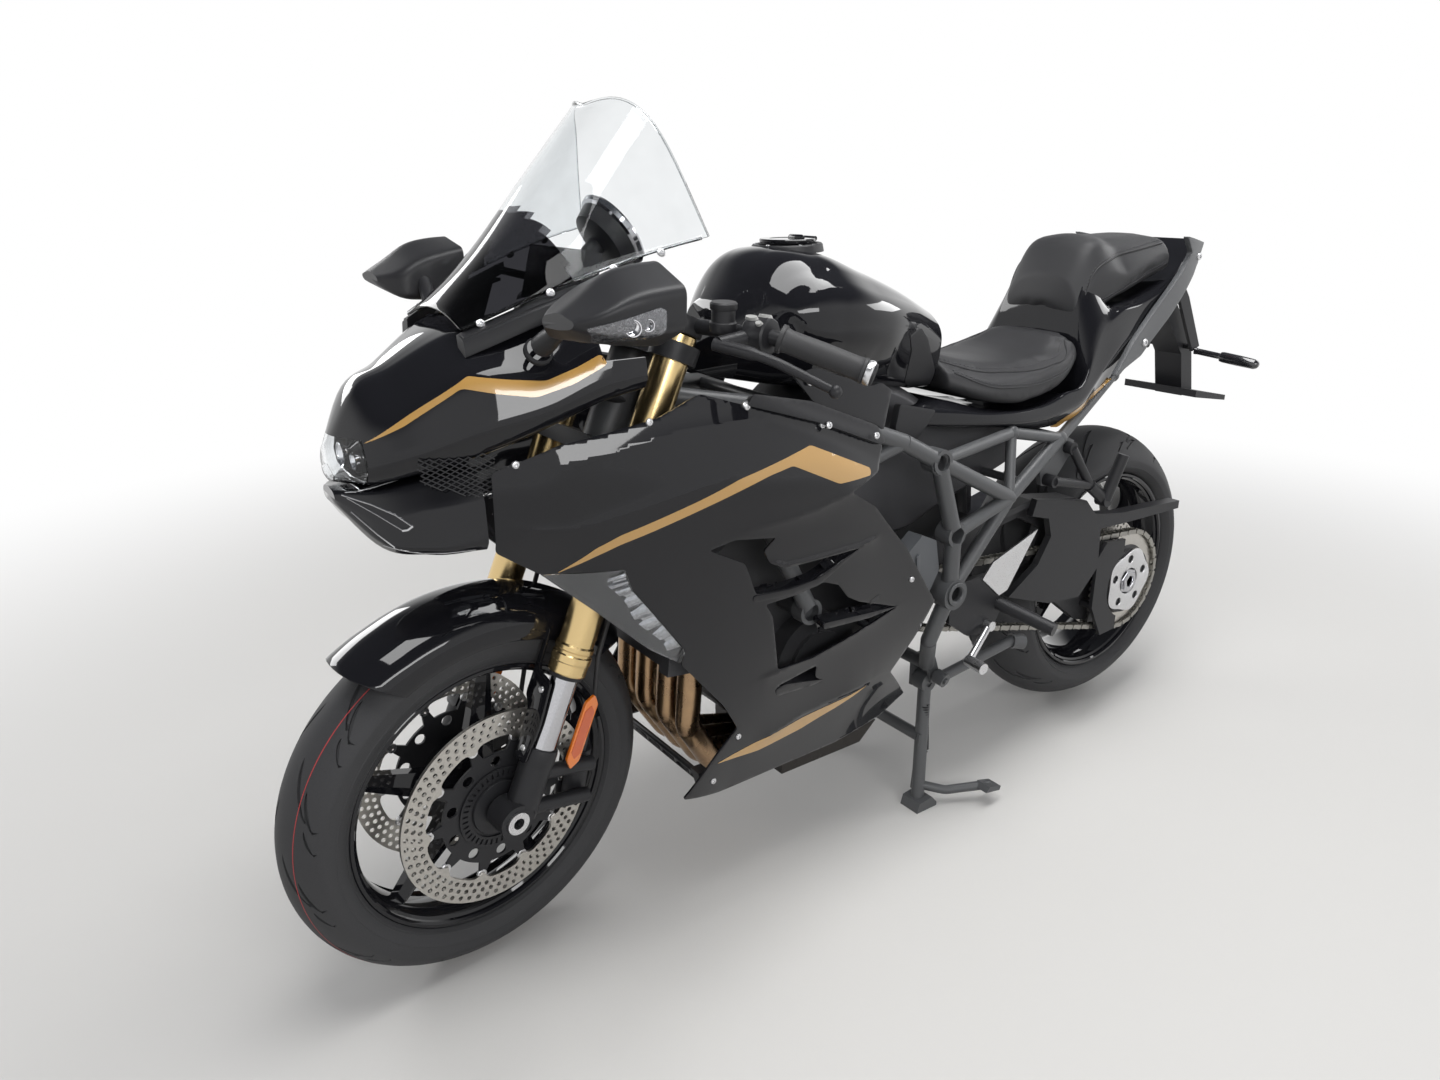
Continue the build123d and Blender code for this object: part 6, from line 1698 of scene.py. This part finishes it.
nose = piece("nose_shell", *hull(nose_rows, NOSE_CORNERS, 7), paint, "root", "gloss_black", 35,
             ["nose_cowl"])
walled(nose, 0.004)
finished(nose, 35)
carve(nose, [
    cutter([(-752, 975), (-540, 975), (-540, 1100), (-752, 1100)], -112, 112),
    cutter([(-625, 968), (-540, 968), (-540, 1100), (-625, 1100)], -260, 260),
    cutter([(-782, 800), (-540, 800), (-540, 938), (-640, 930), (-782, 912)], -140, 140),
    cutter([(-565, 880), (-540, 880), (-540, 1100), (-565, 1100)], -260, 260),
    cutter([(-960, 800), (-905, 812), (-905, 880), (-960, 880)], -120, 120),
])

painted("nose_band", nose, [
    (-906, 876), (-860, 908), (-790, 958), (-786, 960), (-742, 954), (-701, 950), (-660, 964), (-627, 978),
    (-620, 965), (-668, 944), (-716, 931), (-760, 938), (-797, 946), (-860, 900)])


# The headlamp is a clear moulded lens that carries the nose's line, over a chromed reflector
# with three small projector bowls; a clear position lamp sits above it.

def glass_of(name, light, dark, rough, scale, ior):
    """Clear plastic: two close shades, and a faint unevenness in its polish."""
    made, tree, wire = new_material(name)
    place = tree.new("ShaderNodeTexCoord")
    effect = tree.new("ShaderNodeGroup")
    effect.node_tree = mottle
    for socket, value in (("Scale", scale), ("Light", (*light, 1)), ("Dark", (*dark, 1)), ("Smooth", 0.0),
                          ("Rough", rough)):
        effect.inputs[socket].default_value = value
    surface = tree.new("ShaderNodeBsdfPrincipled")
    surface.inputs["Transmission Weight"].default_value = 1.0
    surface.inputs["IOR"].default_value = ior
    out = tree.new("ShaderNodeOutputMaterial")
    linked(wire, (place.outputs["Object"], effect.inputs["Vector"]),
           (effect.outputs["Color"], surface.inputs["Base Color"]),
           (effect.outputs["Roughness"], surface.inputs["Roughness"]),
           (surface.outputs["BSDF"], out.inputs["Surface"]))
    return made


lens_glass = glass_of("lens_clear", (0.97, 0.98, 0.99), (0.92, 0.94, 0.95), 0.03, 60, 1.3)

lamp = piece("headlamp_lens", *hull(nose_rows[:3], NOSE_CORNERS, 4), lens_glass, "root", "lamp_glass", 35,
             ["headlamp"])
walled(lamp, 0.003)
finished(lamp, 35)
carve(lamp, [cutter([(-960, 800), (-905.3, 812), (-905.3, 880), (-960, 880)], -120, 120)], "INTERSECT")

mirror_chrome = finish_of("reflector_chrome", (0.86, 0.86, 0.88), (0.70, 0.70, 0.72), 0.03, 0.08, 220,
                          metal=1.0)
bowls = []
for x, z, r in ((0, 850, 15), (27, 846, 11), (-27, 846, 11)):
    bowls.append(lathe([(0, r), (1.5, r * 1.12), (-0.5, r * 1.12), (6, r * 0.8), (11, r * 0.4), (12, 0.01)],
                       (x, -916 + abs(x) * 0.3, z), (0, 1, 0), 28))
piece("lamp_reflectors", *together(bowls), mirror_chrome, "root", "chrome_steel", 40)


# The chin below the lamp is a faceted gloss black scoop with bright keel lines.

CHIN_ROWS = [
    (-938, [(0, 812), (22, 808), (28, 800), (26, 793), (16, 790), (0, 790)]),
    (-905, [(0, 811), (64, 812), (82, 780), (84, 752), (68, 742), (0, 750)]),
    (-850, [(0, 820), (104, 826), (126, 790), (131, 740), (120, 730), (0, 716)]),
    (-786, [(0, 835), (140, 840), (158, 800), (160, 745), (150, 732), (0, 727)]),
]
chin_rows = full_rows(CHIN_ROWS)
chin = piece("chin_scoop", *hull(chin_rows, [20, 5, 5, 4, 5, 20, 5, 4, 5, 5], 6), paint, "root",
             "gloss_black", 30, ["chin"])

# Keel lines of the chin and the bright wedge beside the lamp, thin bars set in the panel.
silver_line = finish_of("silver_trim", (0.60, 0.60, 0.61), (0.45, 0.45, 0.46), 0.12, 0.2, 400, metal=1.0)


def line_on(target, points, radius, lift=0.0):
    """A thin bar along a line (y, z) of a panel's left face, following it by rays from the side."""
    place = face_of(target, lift)
    return tube([(place(y, z), y, z) for y, z in stepped(points, 8)], radius, 6)


trims = [line_on(chin, line, radius) for line, radius in (
    ([(-930, 806), (-905, 798), (-884, 787), (-868, 772)], 1.5),
    ([(-926, 803), (-902, 786), (-880, 768)], 1.2),
    ([(-868, 773), (-874, 768), (-880, 767)], 2.4),
    ([(-926, 809), (-905, 812), (-880, 818), (-862, 824)], 1.0),
    ([(-925, 786), (-905, 760), (-890, 744)], 1.2), ([(-900, 745), (-860, 734), (-800, 735)], 1.0))]
piece("chin_lines", *both_sides(together(trims)), silver_line, "root", "chrome_steel", 30)

# A fine lattice of pressed wire fills the intake beside the lamp.
GRILLE = [(-860, 862), (-856, 826), (-800, 806), (-765, 800), (-765, 866), (-800, 862)]
mesh_wires = []
for k in range(-14, 22):
    for lean in (1, -1):
        y0 = -865 + k * 11
        run = []
        for z in range(800, 868, 3):
            y = y0 + lean * (z - 832) * 1.6
            if inside((y, z), GRILLE):
                run.append((spline([121, 148.5, 160.5], [-862, -800, -765], y), y, z))
        if len(run) > 2:
            mesh_wires.append(tube(run, 0.9, 6))
piece("intake_lattice", *both_sides(together(mesh_wires)), satin, "root", "satin_black", 40,
      ["nose_grilles"])


# The windscreen is one clear curved pane, tinted dark along its foot, screwed to a rail on
# each side.

SCREEN_ROWS = [
    (-775, [(0, 1030), (52, 1025), (100, 1011)]),
    (-700, [(0, 1096), (72, 1080), (132, 1044)]),
    (-600, [(0, 1208), (92, 1172), (157, 1078)]),
    (-520, [(0, 1296), (104, 1240), (172, 1100)]),
    (-430, [(0, 1390), (114, 1316), (184, 1118)]),
]
SCREEN_Y = [y for y, _ in SCREEN_ROWS]


def screen_z(x, y):
    """Height of the pane over a place in plan."""
    xs = [spline([row[i][0] for _, row in SCREEN_ROWS], SCREEN_Y, y) for i in range(3)]
    zs = [spline([row[i][1] for _, row in SCREEN_ROWS], SCREEN_Y, y) for i in range(3)]
    return spline([zs[2], zs[1], zs[0], zs[1], zs[2]], [-xs[2], -xs[1], 0, xs[1], xs[2]], x)


def pane_edge(y):
    """(x, z) of the pane's left edge."""
    return tuple(spline([row[2][i] for _, row in SCREEN_ROWS], SCREEN_Y, y) for i in (0, 1))


def pane_rear(share):
    """Where the pane ends at the rear, for a share of its half width."""
    return -531 + 82 * abs(share) ** 1.5


rows_across, rows_back = 40, 40
SCREEN_FRONT = -775
verts = []
for k in range(rows_back + 1):
    for i in range(rows_across + 1):
        s = 2 * i / rows_across - 1
        y = SCREEN_FRONT + (pane_rear(s) - SCREEN_FRONT) * k / rows_back
        x = s * pane_edge(y)[0]
        verts.append((x / 1000, y / 1000, screen_z(x, y) / 1000))
faces = quads(rows_back, rows_across + 1, closed=False)


TINT_TOP = -648
CLEAR, TINT = (0.93, 0.95, 0.96), (0.035, 0.035, 0.040)
pane_glass = glass_of("screen_clear", CLEAR, [c * 0.9 for c in CLEAR], 0.02, 30, 1.25)
foot_glass = glass_of("screen_tint", TINT, [c * 0.9 for c in TINT], 0.02, 30, 1.25)
pane = slab("screen_pane", verts, faces, 0.0038, pane_glass, "root", "screen", ["windscreen"], 0.0008,
            inward=(0, 0.5, -1))
pane.data.materials.append(foot_glass)
for face in pane.data.polygons:
    spot = face.center * 1000
    if spot.y < TINT_TOP + 0.0006 * spot.x ** 2:
        face.material_index = 1

# The pane's rim is ground bright, and it is screwed down along both rails.
rim = []
for side in (1, -1):
    edge = [(side * pane_edge(y)[0], y, pane_edge(y)[1]) for y in range(-772, -448, 12)]
    rim.append(tube(edge, 2.0, 6))
top = []
for s in (k / 20 for k in range(-20, 21)):
    y = pane_rear(s)
    x = s * pane_edge(y)[0]
    top.append((x * 0.995, y, screen_z(x, y)))
rim.append(tube(top, 1.9, 6))
piece("screen_rim", *together(rim), pane_glass, "root", "screen", 60)
places = []
for side in (1, -1):
    for y in (-752, -668, -585, -520):
        x, z = pane_edge(y)
        places.append(((side * (x + 1), y, z - 4), facing((side * 0.8, 0, 0.6))))
repeated("screen_screws", SCREW, places, alloy, "root", "silver_alloy", size=1.15)


# Satin plastic rails carry the screen on each side.

rails = []
# (y, inner x, outer x, top z)
SIDE_RAIL = [(-778, 92, 114, 1008), (-740, 107, 131, 1024), (-700, 122, 148, 1041), (-650, 137, 162, 1058),
             (-632, 142, 166, 1064)]
for side in (1, -1):
    rail_rows = []
    for y, x1, x2, z in SIDE_RAIL:
        low = 30 if y < -500 else 18
        loop = [(x1, z - 3), (x2, z - 9), (x2 + 5, z - low), (x1 + 3, z - low)]
        rail_rows.append((y, [(side * x, height) for x, height in loop]))
    rails.append(hull(rail_rows, 3, 10, 2, 2))
piece("screen_rails", *together(rails), satin, "root", "satin_black", 35)
dress("cockpit", satin)

# One large round dial in a chromed ring faces the rider, over a flat black dash.
DIAL = Vector((0, -500, 1112))
DIAL_UP = Vector((0, 0.82, 0.57)).normalized()
ring = lathe([(0, 52), (3, 58), (9, 60), (13, 57), (13, 53), (8, 50), (2, 49)], DIAL, DIAL_UP, 72,
             closed=True)
piece("dial_ring", *ring, chrome, "root", "chrome_steel", 35)
bowl = lathe([(-26, 0.01), (-26, 30), (-20, 46), (0, 53), (4, 53), (4, 50), (3, 0.01)], DIAL, DIAL_UP, 56)
piece("dial_bowl", *bowl, satin, "root", "satin_black", 35)
marks = []
axis, aside, third = round_frame(DIAL_UP)
for k in range(41):
    a = math.radians(-30 + 6 * k)
    aim = aside * math.cos(a) + third * math.sin(a)
    reach = (40, 47) if k % 5 == 0 else (43, 47)
    marks.append(tube([DIAL + DIAL_UP * 3.6 + aim * reach[0], DIAL + DIAL_UP * 3.6 + aim * reach[1]],
                      0.9 if k % 5 == 0 else 0.5, 4))
white_ink = finish_of("dial_white", (0.75, 0.75, 0.75), (0.65, 0.65, 0.66), 0.4, 0.5, 800)
piece("dial_marks", *together(marks), white_ink, "root", "chrome_steel", 40)
stem = tube([DIAL - DIAL_UP * 24, (0, -560, 1060)], 14, 16)
piece("dial_stem", *stem, satin, "root", "satin_black", 35)


# Mirrors are satin black shells on cast arms, each with a clear signal lens let into its front.

MIRROR_ROWS = [
    (-752, [(290, 1034), (330, 1034), (362, 1038), (370, 1046), (330, 1054), (292, 1046)]),
    (-735, [(262, 1019), (330, 1024), (374, 1034), (386, 1052), (330, 1064), (268, 1050)]),
    (-690, [(250, 1009), (330, 1012), (392, 1030), (396, 1070), (330, 1093), (256, 1071)]),
    (-650, [(247, 1005), (330, 1006), (392, 1029), (395, 1075), (330, 1101), (251, 1081)]),
    (-624, [(246, 1004), (330, 1004), (390, 1030), (393, 1076), (330, 1102), (250, 1086)]),
]
shell = hull(MIRROR_ROWS, 11, 7, 5, 5)
arm = tube(bent([(184, -704, 994), (214, -700, 1012), (264, -688, 1040)], 20),
           [15, 14, 13, 12, 12, 11, 11, 11, 11], 18)
foot = lathe([(0, 19), (5, 19), (8, 16)], (170, -704, 984), (0.8, 0, 0.6), 20)
mirrors = piece("mirror_shells", *both_sides(together([shell, arm, foot])), satin, "root", "satin_black",
                32, ["mirrors"])
looking = []
for side in (1, -1):
    face_loop = rounded_loop([(x * 0.97 + 9.6, (z - 1053) * 0.9 + 1053) for x, z in MIRROR_ROWS[-1][1]], 10,
                             5, 5)
    count = len(face_loop)
    ring_front = [(side * p.x / 1000, -0.6236, p.y / 1000) for p in face_loop]
    looking.append((ring_front, [tuple(range(count))]))
silvered = finish_of("mirror_silver", (0.86, 0.87, 0.88), (0.80, 0.81, 0.82), 0.01, 0.02, 200, metal=1.0)
mesh = bpy.data.meshes.new("mirror_glass")
mesh.from_pydata(together(looking)[0], [], together(looking)[1])
settle("mirror_glass", mesh, silvered, "root", "chrome_steel")
for face in mesh.polygons:
    if face.normal.y < 0:
        face.flip()

# (x, z) of the lens on the mirror's front, seen from ahead, and its side edge
LENS = [(-742, 1040), (-660, 1058), (-652, 1054), (-652, 1030), (-662, 1022), (-716, 1018)]
lens_x = face_of(mirrors, 0.8)
lens_sheet = sheet_over(lambda y, z: max(lens_x(y, z), 300), LENS, step=5)
pair("mirror_signal_{}", lens_sheet, 0.0016, lens_glass, "lamp_glass")
back_sheet = sheet_over(lambda y, z: max(lens_x(y, z), 300) - 0.5, LENS, step=5)
lens_back = finish_of("lens_back", (0.30, 0.30, 0.31), (0.15, 0.15, 0.16), 0.2, 0.34, 260, metal=0.7)
pair("mirror_reflector_{}", back_sheet, 0.0006, lens_back, "chrome_steel")
bowls = []
for y, z, r in ((-694, 1038, 7.5), (-676, 1040, 5.5)):
    spot = (lens_x(y, z) + 0.5, y, z)
    bowls.append(lathe([(0.2, r), (1.0, r * 1.1), (1.0, r * 1.25), (-3, r * 1.25)], spot,
                       (0.75, -0.65, 0.1), 20))
    bowls.append(lathe([(0.6, r), (-1.5, r * 0.7), (-2.4, 0.01)], spot, (0.75, -0.65, 0.1), 20))
piece("mirror_bowls", *both_sides(together(bowls)), mirror_chrome, "root", "chrome_steel", 40)


# Cornering lamps are let into the fairing's front edges: a dark clear lens with chromed bowls.

CORNER_LAMP = [(-724, 690), (-622, 689), (-612, 655), (-526, 537), (-532, 517), (-587, 558), (-655, 625)]
lamp_sheet = sheet_over(lambda y, z: fairing_x(y, z) + 1.0, CORNER_LAMP, step=6)
pair("corner_lens_{}", lamp_sheet, 0.0024, lens_glass, "lamp_glass", ["cornering_lamps"], 0.0008)
smoke = finish_of("smoke_lens", (0.022, 0.022, 0.025), (0.010, 0.010, 0.012), 0.12, 0.25, 200, coat=1.0)
pan_sheet = sheet_over(lambda y, z: fairing_x(y, z) - 9.0, CORNER_LAMP, step=6)
pair("corner_pan_{}", pan_sheet, 0.002, smoke, "lamp_glass")
lamp_chrome = finish_of("corner_chrome", (0.50, 0.50, 0.52), (0.30, 0.30, 0.31), 0.08, 0.20, 220, metal=1.0)
REAR_EDGE = [(-620, 684), (-611, 655), (-570, 600), (-529, 543)]
grid, cells = [], 36
for k in range(cells + 1):
    u = 3 * k / cells
    i = min(int(u), 2)
    edge = Vector(REAR_EDGE[i]).lerp(Vector(REAR_EDGE[i + 1]), u - i)
    for v in range(7):
        y, z = edge.x - (3.2 + 0.8 * math.sin(math.pi * k / 9)) * v - 1, edge.y - 1.0 * v
        deep = 8.5 - 4.5 * abs(math.sin(math.pi * k / 4.5)) + 0.5 * v
        grid.append(((fairing_x(y, z) - deep) / 1000, y / 1000, z / 1000))
piece("corner_reflector", *both_sides((grid, quads(cells, 7, closed=False))), lamp_chrome, "root",
      "chrome_steel", 4, turn=False)


# The airbox and the box under the seat fill the frame. They are moulded from dark plastic and
# bolted to it.

INNER_ROWS = [(-235, 78, 640, 800), (-160, 92, 590, 850), (-60, 98, 572, 866), (60, 94, 566, 820),
              (110, 88, 580, 790), (230, 84, 612, 775), (335, 80, 640, 765)]
inner = hull([(y, [(-x, low + 14), (-x * 0.8, low), (x * 0.8, low), (x, low + 14), (x, high - 20),
                   (x * 0.8, high), (-x * 0.8, high), (-x, high - 20)]) for y, x, low, high in INNER_ROWS],
             4, 14, 3, 3)
piece("inner_boxes", *inner, core, "root", "satin_black", 35)


# Satin bars run along the fairing's upper edges, with a gloss cover behind each bar and a
# satin pad at the tank's foot.

BAR = [(-414, 906), (-306, 881), (-165, 823), (-150, 797), (-164, 794.3), (-296, 849.3), (-426, 891.3)]
BAR_LEAN, BAR_SPREAD = 0.42, 14


def bar_x(y, z):
    """The bar's face: proud of the fairing, and rounded along its middle."""
    off = (z - 850 + (y + 296) * BAR_LEAN) / BAR_SPREAD
    return fairing_x(y, z) + 5 + 4 * math.exp(-off ** 2)


bar_sheet = sheet_over(bar_x, BAR, step=6)
pair("side_bar_{}", bar_sheet, 0.010, satin, "satin_black", ["side_covers"], 0.002)
COVER = [(-322, 917), (-283, 924), (-171, 884), (-150, 887), (-127, 872), (-148, 812), (-165, 824),
         (-286, 872)]
cover_sheet = sheet_over(lambda y, z: 218 - (z - 820) * 0.10 + 5 * math.cos((y + 220) / 70), COVER, step=7)
pair("upper_cover_{}", cover_sheet, 0.004, paint, "gloss_black", bevel=0.0015)
PAD = [(-30, 824), (56, 802), (30, 772), (3, 745), (-30, 750), (-41, 784)]
pad_sheet = sheet_over(lambda y, z: 137 + 3 * math.cos((z - 785) / 30), PAD, step=7)
pair("frame_pad_{}", pad_sheet, 0.014, satin, "satin_black", bevel=0.002)
KNEE = [(-6, 934), (14, 906), (18, 850), (60, 826), (106, 816), (108, 856), (60, 921), (30, 944)]
knee_face = face_of(bpy.data.objects["tank_shell"], 1.0)
knee_sheet = sheet_over(knee_face, KNEE, step=6)
pair("knee_pad_{}", knee_sheet, 0.002, satin, "satin_black", bevel=0.001)
side_screws("cover_screws", [(241, -280, 843), (216, -297, 905), (232, -426, 892), (238, -180, 812)],
            lean=0.15, size=1.1)

painted("tail_wedge", tail, [(372, 726), (398, 722), (480, 752), (566, 798), (470, 768)])


# The grab rails are satin grey castings screwed to the tail. Under them sit the red lamp, the
# plate holder and the rear signals, and both stands are welded from tube.

rail_paint = finish_of("rail_grey", (0.105, 0.108, 0.112), (0.080, 0.083, 0.087), 0.35, 0.45, 900,
                       bump=0.0001)
RAIL = [(548, 806), (642, 836), (733, 905), (822, 984), (867, 1047), (841, 1051), (765, 1064), (797, 1030),
        (760, 992), (706, 947), (603, 864)]
rail_x = lambda y, z: spline([144.6, 140.3, 132.3, 120.3, 98.3], [540, 575, 651, 800, 880], y) + 11
rail_sheet = sheet_over(rail_x, RAIL, step=7)
pair("grab_rail_{}", rail_sheet, 0.011, rail_paint, "rail_grey", ["grab_rails"], 0.003)
side_screws("rail_screws", [(rail_x(y, z), y, z) for y, z in ((648, 862), (838, 1020))], size=1.5)
red = finish_of("red_lens", (0.45, 0.012, 0.012), (0.30, 0.008, 0.008), 0.05, 0.1, 200, coat=1.0)
dress("tail_lamp", red)
dress("plate_holder", satin)
signals = [tube(straight((60.3, 985, 800), (122, 992, 794), (0, 0.1, 0.9, 1)), [8, 7, 7, 9], 16)]
signals.append(tube(straight((118, 991, 794), (205, 996, 786), (0, 0.03, 0.1, 0.5, 0.9, 0.97, 1)),
                    [8, 11, 12, 12, 11, 8, 4], 20))
piece("rear_signal_stalks", *both_sides(together(signals)), smoke, "root", "smoke_lens", 35,
      ["rear_signals"])
for node, finish in (("belly_brace", satin), ("hub_guard", satin), ("foot_pegs", satin),
                     ("foot_controls", alloy), ("centre_stand", charcoal), ("side_stand", charcoal)):
    dress(node, finish)

# The stand's return spring, wound from wire, hooks its leg to the frame.
coil = []
for k in range(241):
    a = 2 * math.pi * k / 12
    base = Vector((126, 92, 206)) + (Vector((134, 92, 106)) - Vector((126, 92, 206))) * k / 240
    coil.append(base + Vector((7 * math.cos(a), 7 * math.sin(a), 0)))
piece("stand_spring", *tube(coil, 1.6, 6), satin, "centre_stand", "satin_black", 60)
